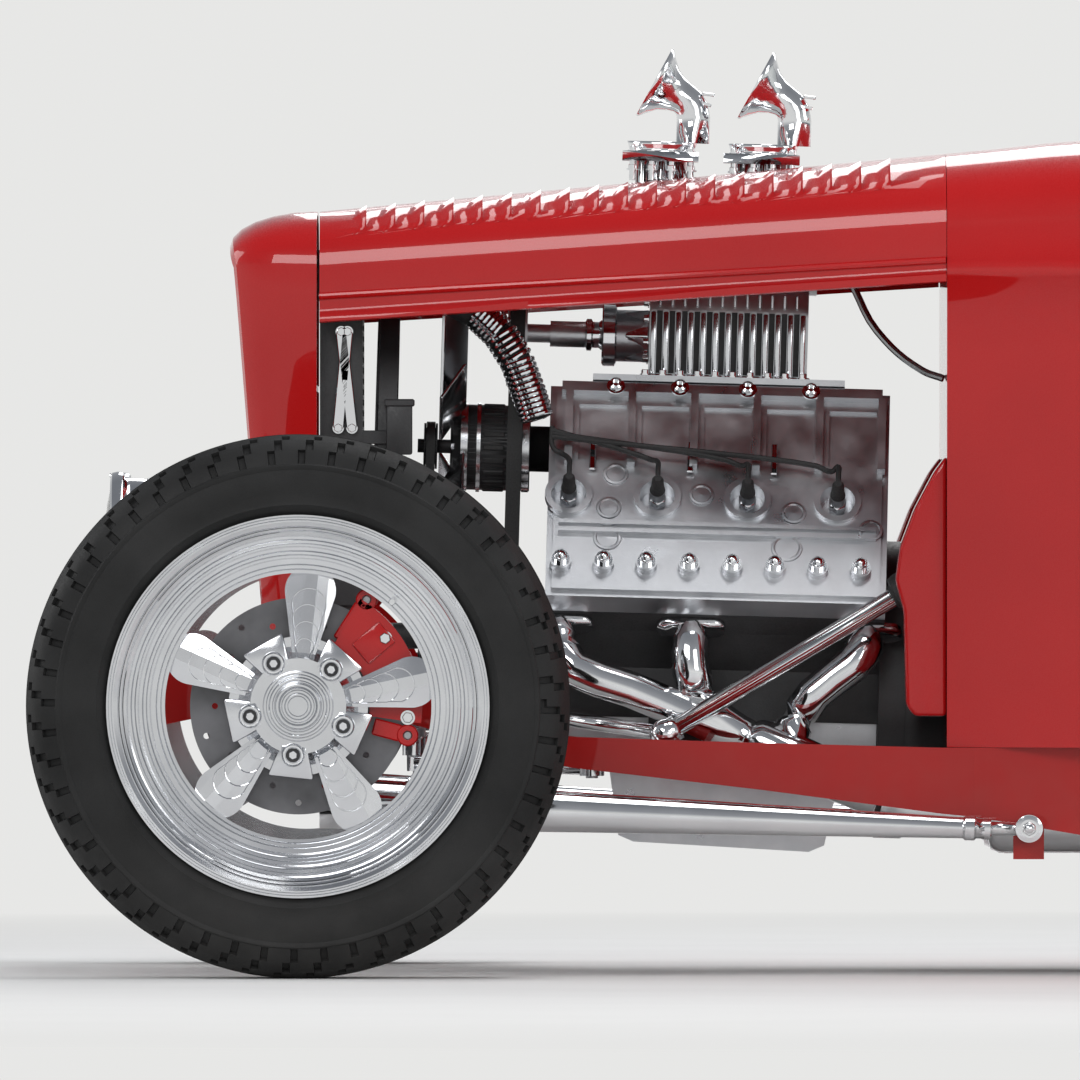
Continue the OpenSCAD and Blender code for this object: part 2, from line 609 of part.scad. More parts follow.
// Boot lid, hinged at its front edge, with an eye round each hinge pin.
lid_t = 12;
LID_Y = [-260, 260];
lid_hinge = [lid_u0 - seam / 2, skin_z(BODY, lid_u0, LID_Y[1]) + 16];
module boot_lid() {
  us = span(lid_u0, lid_u1, 10);
  ys = span(lid_w, -lid_w, 12);
  color(PAINT) {
    sheet([for (u = us) [for (y = ys) [fx(u), y, skin_z(BODY, u, y)]]],
      [for (u = us) [for (y = ys) [fx(u), y, skin_z(BODY, u, y) - lid_t]]]);
    for (y = LID_Y) difference() {
      union() {
        translate([fx(lid_hinge[0]), 0, lid_hinge[1]]) along_y(y - 14, y + 14, 10);
        box([fx(lid_u0 + 60), y - 14, lid_hinge[1] - 22], [fx(lid_u0 + 4), y + 14, lid_hinge[1] - 4]);
        box([fx(lid_u0 + 30), y - 14, lid_hinge[1] - 10], [fx(lid_hinge[0]), y + 14, lid_hinge[1] - 2]);
      }
      translate([fx(lid_hinge[0]), 0, lid_hinge[1]]) along_y(y - 30, y + 30, 5.15);
    }
  }
}

// Fixed halves of the door and lid hinges, each with its pin.
module hinges() {
  color(CHROME) {
    both() for (z = HINGE_Z) translate([fx(door_u0), hinge_y, z]) {
      translate([0, 0, -32]) cylinder(r = 6, h = 64);
      for (k = [-1, 1]) translate([0, 0, k * 24 - 8]) {
        cylinder(r = 11, h = 16);
        box([0, max(side_y(door_u0, z - 32), side_y(door_u0, z + 32)) + 0.3 - hinge_y, 0], [40, -1, 16]);
      }
    }
    for (y = LID_Y) translate([fx(lid_hinge[0]), y, lid_hinge[1]]) {
      along_y(-32, 32, 5);
      for (k = [-1, 1]) translate([0, k * 24 - 8, 0]) {
        along_y(0, 16, 10);
        box([0, 0, skin_z(BODY, lid_u0 - seam - 36, y) + 0.6 - lid_hinge[1]], [40, 16, -1]);
      }
    }
  }
}

// Instrument panel under the rear edge of the cowl.
module dashboard() {
  u = door_u0 - 14;
  o = inward(mirrored(half(BODY, u, [for (p = STEPS) if (p >= 1) p])), wall + 1.6);
  color(PAINT) difference() {
    translate([fx(u + 10), 0, 0]) rotate([90, 0, 90]) linear_extrude(10) polygon(o);
    translate([fx(u), steer_y, shaft_z(u)]) along_x(-40, 40, 42);
    for (y = [-220, -120, 0, 120]) translate([fx(u), y, 1000]) along_x(-40, 40, 36);
    translate([fx(u), steer_y, 1010]) along_x(-40, 40, 40);
  }
  color(IRON) {
    for (y = [-220, -120, 0, 120]) translate([fx(u + 10), y, 1000]) along_x(-4, 9, 35.7);
    translate([fx(u + 10), steer_y, 1010]) along_x(-4, 9, 39.7);
  }
}

// Windshield: a raked frame whose foot follows the cowl, and its pane.
screen_w = BODY[1][2] - 42;
module screen_place() {
  translate([fx(screen_u), 0, 0]) multmatrix([[1, 0, -tan(screen_rake), 1000 * tan(screen_rake)],
    [0, 1, 0, 0], [0, 0, 1, 0]]) rotate([90, 0, 90]) children();
}
function foot(d, w) = [for (i = [0:20]) let(y = -w + 2 * w * i / 20)
  [y, skin_z(BODY, door_u0, y) + d]];
screen_top = BODY[1][5] + screen_h;
// Outline of the screen drawn in by d, its foot f above the cowl.
function screen_outline(d, f) =
  let(w = screen_w - d, top = screen_top - d, c = 40 - 0.6 * d)
  concat(foot(f, w), [[w, top - c], [w - c, top], [c - w, top], [-w, top - c]]);
module windshield_frame() {
  color(CHROME) screen_place() linear_extrude(18) difference() {
    polygon(screen_outline(0, 0.5));
    polygon(screen_outline(22, 26));
  }
}
module windshield_glass() {
  color(GLASS) translate([-6, 0, 0]) screen_place() translate([0, 0, 12]) linear_extrude(6)
    polygon(screen_outline(22.4, 26.4));
}

// Bench seat: cushion and back.
seat_z = sill_z + 12.3;
seat_len = 0.612 * (floor_u1 - door_u0);
module seat() {
  u = floor_u1;
  color([0.55, 0.42, 0.28]) difference() {
    union() {
      translate([0, 500, 0]) rotate([90, 0, 0]) linear_extrude(1000)
        polygon([[fx(u - seat_len), seat_z], [fx(u - seat_len - 10), 470], [fx(u - seat_len + 10), 500],
          [fx(u - 160), 470], [fx(u - 140), 460], [fx(u - 140), seat_z]]);
      translate([0, 540, 0]) rotate([90, 0, 0]) linear_extrude(1080)
        polygon([[fx(u - 137), seat_z], [fx(u - 137), 480], [fx(u - 185), 520], [fx(u - 105), 930],
          [fx(u - 80), 950], [fx(u - 30), 950], [fx(u - 0.4), 900], [fx(u - 0.4), seat_z]]);
    }
    tunnel(10.5, 5);
  }
}

// Steering: a straight shaft from the wheel down to a joint beside the frame, then a box and arm.
steer_y = 282;
shaft_a = 30.9;
joint_u = 475;
function shaft_z(u) = 312 + (u - joint_u) * tan(shaft_a);
hub_u = door_u0 + door_len * 6 / 11;
pitman_u = 230;
pitman_y = 205;
worm_z = 335;
module steering_wheel() {
  color(IRON) translate([fx(hub_u), steer_y, shaft_z(hub_u)]) rotate([0, shaft_a - 90, 0]) {
    rotate_extrude() translate([steer_r - 14, 30]) circle(r = 13);
    for (a = [90, 210, 330]) rotate([0, 0, a]) box([20, -11, 10], [steer_r - 20, 11, 20]);
    difference() {
      translate([0, 0, -20]) cylinder(r = 38, h = 46);
      translate([0, 0, -30]) cylinder(r = 12.2, h = 40);
    }
  }
}
module steering_column() {
  a = [fx(joint_u), steer_y, shaft_z(joint_u)];
  b = [fx(hub_u), steer_y, shaft_z(hub_u)];
  v = unit(b - a);
  box_end = [fx(pitman_u + 100), pitman_y, worm_z];
  color(CHROME) {
    bar(a, b + 2 * v, 12, 12);
    bar(a + (cowl_u0 + 100 - joint_u) / cos(shaft_a) * v, b - 26 * v, 27, 27);
    bar(a - 14 * v, a + 20 * v, 17, 17);
    bar(box_end, a, 10, 10);
    translate(a) sphere(r = 20);
    translate([0, pitman_y, worm_z]) along_x(fx(pitman_u + 105), fx(pitman_u - 45), 28);
    translate([fx(pitman_u), pitman_y, drag_z + 33]) cylinder(r = 34, h = worm_z - drag_z - 33);
    translate([fx(pitman_u), pitman_y, drag_z + 10]) cylinder(r = 10, h = 40);
    box([fx(pitman_u + 40), pitman_y, worm_z - 24], [fx(pitman_u - 30), 296.5, worm_z + 20]);
  }
}
module pitman_arm() {
  color(STEEL) translate([fx(pitman_u), pitman_y, drag_z]) difference() {
    union() {
      translate([0, 0, 12]) cylinder(r = 24, h = 20);
      translate([-arm_len, 0, -14]) cylinder(r = 8, h = 28);
      translate([-arm_len, 0, 12]) cylinder(r = 17, h = 14);
      box([-arm_len, -12, 12.5], [0, 12, 25]);
    }
    translate([0, 0, -40]) cylinder(r = 10.2, h = 80);
  }
}
// A rod with an eye at each end; its left end is at a, its right end at b.
module rod(a, b, r) {
  v = unit(b - a);
  difference() {
    union() {
      bar(a + 12 * v, b - 12 * v, r, r);
      for (p = [a, b]) translate(p - [0, 0, 11]) cylinder(r = 16, h = 22);
    }
    for (p = [a, b]) translate(p - [0, 0, 30]) cylinder(r = 8.3, h = 60);
  }
}
module drag_link() {
  color(CHROME) rod([fx(pitman_u + arm_len), pitman_y, drag_z], [fx(arm_len), -kingpin_y, drag_z], 10);
}
module tie_rod() {
  color(CHROME) translate([fx(arm_len), 0, tie_z]) difference() {
    union() {
      along_y(10 - kingpin_y, kingpin_y - 10, 10.5);
      both() translate([0, kingpin_y, -11]) cylinder(r = 16, h = 22);
    }
    both() translate([0, kingpin_y, -30]) cylinder(r = 8.3, h = 60);
  }
}

// Steering knuckle: a yoke round the axle boss, kingpin, stub axle and steering arm.
module knuckle(arm_foot) {
  color(STEEL) translate([fx(0), kingpin_y, 0]) {
    translate([0, 0, front_tyre_r - 62]) cylinder(r = 11, h = 124);
    for (z = [front_tyre_r - 58, front_tyre_r + 36.4]) hull() {
      translate([0, 0, z]) cylinder(r = 24, h = 21.6, $fn = 28);
      box([-28, 30, z], [28, 46, z + 21.6]);
    }
    box([-28, 30, front_tyre_r - 58], [28, 46, front_tyre_r + 58]);
    translate([0, 0, front_tyre_r]) along_y(40, front_y - kingpin_y + 36, 18);
    // arm to the rods, and its pin
    hull() {
      box([-30, -10, front_tyre_r - 58], [-10, 24, front_tyre_r - 40]);
      translate([-arm_len + 40, 0, tie_z + 13]) cylinder(r = 10, h = 10, $fn = 20);
    }
    hull() {
      translate([-arm_len + 44, 0, tie_z + 13]) cylinder(r = 10, h = 10, $fn = 20);
      translate([-arm_len, 0, tie_z + 13]) cylinder(r = 14, h = 10, $fn = 24);
    }
    translate([-arm_len, 0, arm_foot]) cylinder(r = 8, h = tie_z + 18 - arm_foot);
    // caliper bracket
    for (a = [8, 44]) translate([0, 0, front_tyre_r]) rotate([0, a, 0])
      box([-120, 31, -9], [-20, disc_y - 21.3 - kingpin_y, 9]);
  }
}
module knuckle_left() knuckle(tie_z - 13);
module knuckle_right() mirror([0, 1, 0]) knuckle(drag_z - 13);

// Caliper astride the disc, above and behind the stub axle.
disc_y = front_y - 12;
module caliper() {
  color(PAINT) translate([fx(0), 0, front_tyre_r]) difference() {
    rotate([90, 0, 180]) translate([0, 0, disc_y - 21]) rotate([0, 0, -8]) rotate_extrude(angle = 68)
      translate([92, 0]) square([68, 42]);
    along_y(disc_y - 12, disc_y + 12, 146);
  }
}
module caliper_left() caliper();
module caliper_right() mirror([0, 1, 0]) caliper();

// Front brake disc with its hub, turning on the stub axle.
module disc() {
  color(STEEL) translate([fx(0), 0, front_tyre_r]) difference() {
    union() {
      along_y(disc_y - 8, disc_y + 8, 140);
      along_y(disc_y - 8, front_y + 20, 78);
      along_y(front_y + 15, front_y + 38, 32);
    }
    along_y(0, front_y + 37, 18.15);
    for (i = [0:19]) rotate([0, i * 18, 0]) translate([i % 2 == 0 ? 108 : 125, 0, 0]) along_y(0, 900, 4);
  }
}
module disc_left() disc();
module disc_right() mirror([0, 1, 0]) disc();

// Wheel about its own axis, outer face towards +Z, middle plane at z = 0.
module drop(r0, w0, r1, w1) {
  c = (w1 - w0) / (r0 - r1);
  s = sqrt(1 - c * c);
  translate([0, r0]) circle(r = w0);
  translate([0, r1]) circle(r = w1);
  polygon([[w0 * s, r0 + w0 * c], [-w0 * s, r0 + w0 * c], [-w1 * s, r1 + w1 * c], [w1 * s, r1 + w1 * c]]);
}
module wheel(w, bore, lip) {
  h = w / 2 - 8;
  face = h - rim_step;
  step = 360 / spokes;
  seat_r = lip - bead_drop - 0.3;
  color(CHROME) {
    // barrel, with a stepped outer lip
    rotate_extrude() polygon([
      [lip, h], [lip, h - 6], [seat_r, h - 9], [seat_r, h - 34], [lip - 35, h - 44], [lip - 35, -h + 46],
      [seat_r, -h + 34], [seat_r, -h + 9], [lip, -h + 6], [lip, -h], [seat_r - 3, -h], [seat_r - 9, -h + 30],
      [lip - 43, -h + 44], [lip - 43, face - 12], [lip - 75, face - 12], [lip - 75, face + 2],
      [lip - 57, face + 4], [lip - 55, face + 22], [lip - 42, face + 24], [lip - 40, face + 44],
      [lip - 28, face + 46], [lip - 26, h - 12], [lip - 9, h]]);
    // hub
    difference() {
      translate([0, 0, 20]) cylinder(r1 = 84, r2 = 62, h = face + 2);
      cylinder(r = bore, h = face + 14);
    }
    translate([0, 0, 20]) difference() {
      cylinder(r = 90, h = 10);
      translate([0, 0, -1]) cylinder(r = bore, h = 20);
    }
    // spokes: petals that widen to the rim, crowned along their length
    for (i = [0:spokes - 1]) rotate([0, 0, -6 - i * step]) intersection() {
      translate([0, 0, face - 10]) linear_extrude(40) drop(lip - 97, 33, 60, 13);
      translate([0, lip - 67, face - 3]) rotate([83, 0, 0]) linear_extrude(lip - 87)
        polygon([[-60, -40], [60, -40], [60, -12], [22, -3], [8, 0], [-8, 0], [-22, -3], [-60, -12]]);
      difference() {
        cylinder(r = lip - 67, h = 120);
        translate([0, 0, -1]) cylinder(r = 56, h = 130);
      }
    }
    // cap: a stack of shrinking rings
    for (i = [0:4]) translate([0, 0, face + 18 + 5 * i]) cylinder(r1 = 47 - 7 * i, r2 = 44 - 7 * i, h = 12);
  }
}
module tyre(r, w, lip) {
  s = w / 2;
  b = lip - bead_drop;
  color(RUBBER) rotate_extrude() polygon([
    [b, s - 19.5], [b, -s + 19.5], [b + 8, -s + 17], [lip + 0.5, -s + 14.5], [lip + 8, -s + 5],
    [lip + 28, -s], [r - 58, -s], [r - 38, -s + 4], [r - 18, -s + 14], [r - 6, -s + 30], [r - 1, -s + 48],
    [r, -s / 3],
    [r, s / 3], [r - 1, s - 48], [r - 6, s - 30], [r - 18, s - 14], [r - 38, s - 4], [r - 58, s],
    [lip + 28, s], [lip + 8, s - 5], [lip + 0.5, s - 14.5], [b + 8, s - 17]]);
}
module at_front() translate([fx(0), front_y, front_tyre_r]) rotate([-90, 180, 0]) children();
module at_rear() translate([fx(ra), rear_y, rear_tyre_r]) rotate([-90, 180, 0]) children();
module wheel_front_left() at_front() wheel(front_tyre_w, 32.3, rim_lip_r);
module wheel_front_right() mirror([0, 1, 0]) at_front() wheel(front_tyre_w, 32.3, rim_lip_r);
module wheel_rear_left() at_rear() wheel(rear_tyre_w, 18.2, rear_lip_r);
module wheel_rear_right() mirror([0, 1, 0]) at_rear() wheel(rear_tyre_w, 18.2, rear_lip_r);
module tyre_front_left() at_front() tyre(front_tyre_r, front_tyre_w, rim_lip_r);
module tyre_front_right() mirror([0, 1, 0]) at_front() tyre(front_tyre_r, front_tyre_w, rim_lip_r);
module tyre_rear_left() at_rear() tyre(rear_tyre_r, rear_tyre_w, rear_lip_r);
module tyre_rear_right() mirror([0, 1, 0]) at_rear() tyre(rear_tyre_r, rear_tyre_w, rear_lip_r);

// Engine parts are laid out about the crankshaft, x forward of the engine's middle.
module engine() translate([fx(engine_u), 0, crank_z]) rotate([0, -engine_tilt, 0]) children();
function ex(u) = engine_u - u;
head_a = -58.9;
head_foot = [262, 125];
head_len = 445;
module engine_block() {
  color(IRON) engine() {
    translate([ex(760), 0, 0]) rotate([90, 0, 90]) linear_extrude(head_len - 10)
      polygon([[-150, -35], [150, -35], [150, 30], [195, 78], [223.2, 101.4], [58.4, 374.8], [-58.4, 374.8],
        [-223.2, 101.4], [-195, 78], [-150, 30]]);
    // timing cover and rear flange
    translate([0, 0, 20]) along_x(ex(330), ex(300), 104);
    translate([0, 0, 10]) along_x(ex(790), ex(755), 195);
    both() box([ex(525), 148, -78], [ex(455), 210, -20]);
  }
}
module oil_pan() {
  color(ALLOY) engine() translate([0, 128, 0]) rotate([90, 0, 0]) linear_extrude(256)
    polygon([[ex(330), -35.3], [ex(330), -60], [ex(400), -66], [ex(420), -190], [ex(440), -198],
      [ex(670), -205], [ex(690), -196], [ex(715), -70], [ex(754), -66], [ex(754), -35.3]]);
}
// Finned cylinder heads, one each side.
module head() {
  translate([0, head_foot[0], head_foot[1]]) rotate([head_a, 0, 0]) difference() {
    union() {
      box([ex(760), -320, -44.6], [ex(760) + head_len, 0, -6]);
      box([ex(752), -312, -10], [ex(752) + head_len - 16, -8, 0]);
      // nut row along the foot, ribs, plug bosses and top rail
      for (i = [0:7]) translate([ex(334 + i * 56), -46, -2]) cylinder(r = 14, h = 12);
      for (i = [0:5]) box([ex(345 + i * 82), -304, -2], [ex(335 + i * 82), -196, 12]);
      for (y = [-104, -92]) box([ex(745), y - 6, -2], [ex(330), y, 7]);
      for (u = PLUG_U) translate([ex(u), -149, -2]) cylinder(r = 31, h = 9);
      box([ex(750), -318, -2], [ex(330), -304, 12]);
    }
    for (u = PLUG_U) translate([ex(u), -149, -22]) cylinder(r = 23, h = 60);
    for (i = [0:4]) box([ex(343 + 82 * i + 72), -290, -6], [ex(343 + 82 * i + 10), -205, 3]);
  }
  translate([0, head_foot[0], head_foot[1]]) rotate([head_a, 0, 0])
    for (u = PLUG_U) translate([ex(u), -149, -23]) cylinder(r = 10, h = 42);
}
PLUG_U = [342, 458, 576, 694];
module heads() {
  color(ALLOY) engine() both() head();
}

// Finned blower on its manifold.
blow_z = 465;
module fin_shape(g) {
  translate([0, -25]) square([2 * (88 + g), 110], center = true);
  translate([-40, 30]) circle(r = 48 + g);
  translate([40, 30]) circle(r = 48 + g);
  translate([-40, 30]) square([80, 48 + g]);
}
MANIFOLD = [[56, 375.2], [58, 377], [92, 397], [110, 406], [110, 414]];
module blower() {
  color(ALLOY) engine() {
    translate([ex(700), 0, 0]) rotate([90, 0, 90]) linear_extrude(330)
      polygon(concat(MANIFOLD, [for (i = [4:-1:0]) [-MANIFOLD[i][0], MANIFOLD[i][1]]]));
    translate([ex(650), 0, blow_z]) rotate([90, 0, 90]) linear_extrude(208) intersection() {
      fin_shape(0);
      translate([-200, -55]) square([400, 200]);
    }
    for (i = [0:fins - 1]) translate([ex(646 - i * 196 / (fins - 1)), 0, blow_z]) rotate([90, 0, 90])
      linear_extrude(6) intersection() {
        fin_shape(9);
        translate([-200, -52]) square([400, 88]);
      }
    box([ex(660), -70, blow_z + 60], [ex(370), 70, blow_z + 84]);
    // snout and drive pulley
    translate([0, 0, blow_z]) {
      along_x(ex(442), ex(398), 34);
      along_x(ex(398), ex(381), 38);
      along_x(ex(381), ex(312), 17);
      along_x(ex(312), ex(252), 12);
      pulley(BLOWER_BELT);
    }
  }
}

// Two carburettors with forward-facing scoops. Scoop table: distance along its bent axis, radius.
SCOOP = [
  [0, 22], [34, 22], [45, 22], [56, 22], [67, 22], [75, 24], [87, 30], [99, 42], [105, 49.5], [108, 49.5],
  [104, 44], [94, 32], [84, 23], [82, 8]
];
scoop_turn = 63;
scoop_bend = 30;
function scoop_at(d) =
  let(a = max(min((d - 34) / scoop_bend * 180 / PI, scoop_turn), 0))
  let(rest = max(d - 34 - scoop_bend * scoop_turn * PI / 180, 0))
  [a, [scoop_bend * (1 - cos(a)) + rest * sin(a), 0, min(d, 34) + scoop_bend * sin(a) + rest * cos(a)]];
module scoop() {
  rings([for (q = SCOOP) let(w = scoop_at(q[0]), b = [-cos(w[0]), 0, sin(w[0])])
    [for (a = [0:22.5:337.5]) w[1] + q[1] * (cos(a) * [0, 1, 0] - sin(a) * b)]]);
}
module carburettors() {
  color(CHROME) engine() for (u = CARB_U) translate([ex(u), 0, blow_z + 84.3]) {
    cylinder(r = 40, h = 80);
    translate([0, 0, 40]) along_y(-52, 52, 17);
    cylinder(r = 48, h = 9);
    translate([-48, -44, 146]) cube([100, 88, 13]);
    cylinder(r = 34, h = 150);
    translate([0, 0, 149]) cylinder(r1 = 40, r2 = 46, h = 23);
    translate([-40, 0, 171]) scoop();
  }
}

// Belts from the crankshaft: front, back, height of the driven shaft, its pulley's radius.
gen_z = 313;
BLOWER_BELT = [256, 282, blow_z, 70];
FAN_BELT = [150, 168, gen_z, 30];
crank_pulley_r = [70, 46];
module pulley(b, r = 0) {
  size = r > 0 ? r : b[3];
  along_x(ex(b[1]), ex(b[0]), size - 6);
  along_x(ex(b[0] + 3), ex(b[0]), size);
  along_x(ex(b[1]), ex(b[1] - 3), size);
}
module belt(b, r) {
  translate([ex(b[1] - 3.3), 0, 0]) rotate([90, 0, 90]) linear_extrude(b[1] - b[0] - 6.6) difference() {
    drop(b[2], b[3] + 2, 0, r + 2);
    drop(b[2], b[3] - 5.7, 0, r - 5.7);
  }
}
module belts() {
  color(RUBBER) engine() {
    belt(BLOWER_BELT, crank_pulley_r[0]);
    belt(FAN_BELT, crank_pulley_r[1]);
  }
}
module crank_pulley() {
  color(IRON) engine() {
    along_x(ex(299.7), ex(144), 16);
    pulley(BLOWER_BELT, crank_pulley_r[0]);
    pulley(FAN_BELT, crank_pulley_r[1]);
  }
}

// Generator at the front of the valley, carrying the fan behind its pulley.
module generator() {
  color(IRON) engine() translate([0, 0, gen_z]) {
    along_x(ex(290), ex(200), 56);
    along_x(ex(200), ex(188), 50);
    along_x(ex(190), ex(142), 9);
    along_x(ex(324.7), ex(290), 30);
    pulley(FAN_BELT);
    for (a = [0:60:300]) rotate([a, 0, 0]) translate([ex(187), 0, 0]) {
      box([-2, -9, 6], [2, 9, 68]);
      multmatrix([[1, 0.58, 0, 0], [0, 1, 0, 0], [0, 0, 1, 0]]) box([-2, -26, 62], [2, 26, 172]);
    }
  }
}
module hoses() {
  color(RUBBER) both() {
    pipe(bend([[fx(87.6), 120, 905], [fx(120), 120, 905], [fx(160), 126, 892], [fx(230), 135, 860],
      [fx(282), 142, 800], [fx(306), 150, 725]], 2), 19);
    pipe(bend([[fx(87), 130, 440], [fx(150), 130, 440], [fx(230), 120, 452], [fx(320), 118, 470]], 2), 17);
  }
}

// Header pipes: three from each side of the block into a collector. Each row: u, y, height over the crank.
PORT_U = [334, 507, 738];
HEADER = [
  [[334, 228, 66], [356, 236, 26], [430, 236, 2], [505, 236, -28], [580, 238, -58]],
  [[507, 228, 66], [508, 236, 30], [530, 236, -18], [572, 238, -50], [612, 240, -68]],
  [[735, 228, 66], [718, 236, 42], [670, 236, 2], [645, 238, -40], [640, 240, -66]]
];
collector_u = 760;
port = [208.5, 89.2];
port_a = -50.3;
function engine_at(u, y, z) = [
  fx(engine_u) + cos(engine_tilt) * ex(u) - sin(engine_tilt) * z, y,
  crank_z + sin(engine_tilt) * ex(u) + cos(engine_tilt) * z
];
module headers() {
  color(CHROME) both() {
    for (i = [0:2]) {
      out = [cos(port_a), sin(port_a)];
      foot = [PORT_U[i], port[0] + 5 * out[0], port[1] + 5 * out[1]];
      path = bend([for (p = concat([foot], HEADER[i])) engine_at(p[0], p[1], p[2])], 2);
      pipe(path, [for (k = [0:len(path) - 1]) k == 0 ? 15 : k == 1 ? pipe_r - 4 : pipe_r], 10);
      engine() hull() for (k = [-1, 1]) translate([ex(PORT_U[i] + k * 30), port[0], port[1]])
        rotate([port_a, 0, 0]) along_y(0.5, 10, 15, $fn = 12);
    }
    hull() {
      translate(engine_at(605, 240, -66)) sphere(r = 34, $fn = 12);
      bar(engine_at(collector_u - 15, 262, -122), engine_at(collector_u, 264, -128), 30, 30, $fn = 12);
    }
  }
}
// Exhaust table: u, distance from the middle line, height, radius.
silencer_u = collector_u + 140;
tail_pipe_u = ra - 720;
function run(s) = silencer_u + s * (tail_pipe_u - silencer_u);
EXHAUST = [
  [collector_u + 2, 264, 229.5, 28], [collector_u + 40, 266, 220, 28], [collector_u + 90, 268, 214, 28],
  [silencer_u - 4, 268, 212, 28],
  [silencer_u, 268, 212, 50], [silencer_u + 12, 268, 212, 55], [run(0.549), 268, 212, 55],
  [run(0.56), 268, 212, 50], [run(0.563), 268, 212, 26], [run(0.616), 272, 213, 26],
  [run(0.746), 290, 216, 26], [tail_pipe_u, 328, 220, 26],
  [ra - 560, 342, 220, 26], [ra - 330, 345, 215, 26]
];
module exhaust() {
  color(CHROME) both() pipe([for (e = EXHAUST) [fx(e[0]), e[1], e[2]]], [for (e = EXHAUST) e[3]], 16);
}
module transmission() {
  color(IRON) {
    engine() {
      translate([0, 0, 10]) along_x(ex(860), ex(790.3), 150, 195);
      along_x(ex(1090), ex(858), 110, 140);
      box([ex(1090), -120, -120], [ex(900), 120, -20]);
      along_x(ex(gear_u1 - 30), ex(1088), 52, 85);
      along_x(ex(gear_u1), ex(gear_u1 - 32), 30);
    }
  }
  // drive shaft
  u = gear_u1 + 5;
  a = [fx(u), 0, crank_z - (u - engine_u) * tan(engine_tilt)];
  color(STEEL) bar(a, [fx(ra - 232.1), 0, rear_tyre_r], 38, 38);
}

LAMP = [-257, 300, 571];
module headlamps() {
  color(CHROME) both() {
    translate([fx(LAMP[0]), LAMP[1], LAMP[2]]) rotate([0, 90, 0]) rotate_extrude() polygon([
      [0, -150], [14, -148], [34, -138], [54, -116], [68, -86], [75, -50], [76, -28], [80, -26], [80, -12],
      [74, -12], [74, -30], [60, -70], [40, -100], [0, -116]]);
    translate([fx(-230), LAMP[1] - 10, 452.3]) cylinder(r = 11, h = 50);
  }
  color(CHROME) translate([fx(-230), 0, 462]) along_y(-330, 330, 9);
}
module headlamp_lenses() {
  color(GLASS) both() translate([fx(LAMP[0]), LAMP[1], LAMP[2]]) rotate([0, 90, 0]) rotate_extrude() polygon([
    [0, 0], [40, -4], [66, -9], [73.7, -12.3], [73.7, -16], [40, -10], [0, -6]]);
}
module tail_lamps() {
  color([0.6, 0.02, 0.02]) both() translate([fx(tail_u - 2), 300, 500]) rotate([0, -90, 0])
    rotate_extrude() polygon([
    [0, 0.3], [36, 0.3], [36, 6], [30, 10.5], [16, 13.3], [0, 14]]);
}

frame();
front_axle();
front_spring();
radius_rods();
rear_axle();
rear_suspension();
fuel_tank();
grille_shell();
grille_bars();
radiator();
hood();
cowl();
firewall();
floor();
door_left();
door_right();
rear_body();
boot_lid();
hinges();
dashboard();
windshield_frame();
windshield_glass();
seat();
steering_wheel();
steering_column();
pitman_arm();
drag_link();
tie_rod();
knuckle_left();
knuckle_right();
caliper_left();
caliper_right();
disc_left();
disc_right();
wheel_front_left();
wheel_front_right();
wheel_rear_left();
wheel_rear_right();
tyre_front_left();
tyre_front_right();
tyre_rear_left();
tyre_rear_right();
engine_block();
oil_pan();
heads();
blower();
carburettors();
generator();
crank_pulley();
belts();
hoses();
headers();
exhaust();
transmission();
headlamps();
headlamp_lenses();
tail_lamps();
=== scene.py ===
import json
import math

import bmesh
import bpy
from mathutils import Matrix, Vector
from mathutils.bvhtree import BVHTree


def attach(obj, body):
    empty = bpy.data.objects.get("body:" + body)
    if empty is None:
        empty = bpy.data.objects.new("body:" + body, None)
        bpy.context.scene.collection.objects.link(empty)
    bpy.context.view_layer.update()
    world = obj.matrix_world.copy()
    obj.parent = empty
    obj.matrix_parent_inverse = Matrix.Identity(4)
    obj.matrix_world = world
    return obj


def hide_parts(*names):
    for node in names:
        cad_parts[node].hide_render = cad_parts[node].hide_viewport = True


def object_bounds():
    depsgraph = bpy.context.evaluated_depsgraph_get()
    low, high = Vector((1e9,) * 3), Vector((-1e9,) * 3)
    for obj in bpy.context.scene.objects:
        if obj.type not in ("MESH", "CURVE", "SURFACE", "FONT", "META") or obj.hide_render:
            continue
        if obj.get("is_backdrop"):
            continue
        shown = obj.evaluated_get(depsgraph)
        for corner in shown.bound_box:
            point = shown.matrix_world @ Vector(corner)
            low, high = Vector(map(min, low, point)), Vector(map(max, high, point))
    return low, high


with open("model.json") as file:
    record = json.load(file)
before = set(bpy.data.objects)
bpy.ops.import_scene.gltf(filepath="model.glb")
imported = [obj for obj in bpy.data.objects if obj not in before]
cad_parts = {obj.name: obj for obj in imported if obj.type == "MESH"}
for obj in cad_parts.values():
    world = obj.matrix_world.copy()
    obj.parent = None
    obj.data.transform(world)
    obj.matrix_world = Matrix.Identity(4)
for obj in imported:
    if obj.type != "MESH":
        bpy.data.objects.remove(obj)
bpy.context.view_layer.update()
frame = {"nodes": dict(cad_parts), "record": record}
nodes = frame["nodes"]
print("frame loaded:", len(nodes), "nodes")

# Places are in millimetres behind the front axle, to the left and up, as in the CAD.
layout = {"frontX": 1474.5, "wheelbase": 2692.0, "frontTrack": 1420.0, "rearTrack": 1480.0,
          "frontRadius": 351.0, "rearRadius": 385.0, "frontWidth": 225.0, "rearWidth": 290.0}


def at(u, y, z):
    return Vector((layout["frontX"] - u, y, z)) * 0.001


def turned(spot, direction):
    way = Vector(direction).normalized().to_track_quat("Z", "Y").to_matrix().to_4x4()
    return Matrix.Translation(spot) @ way


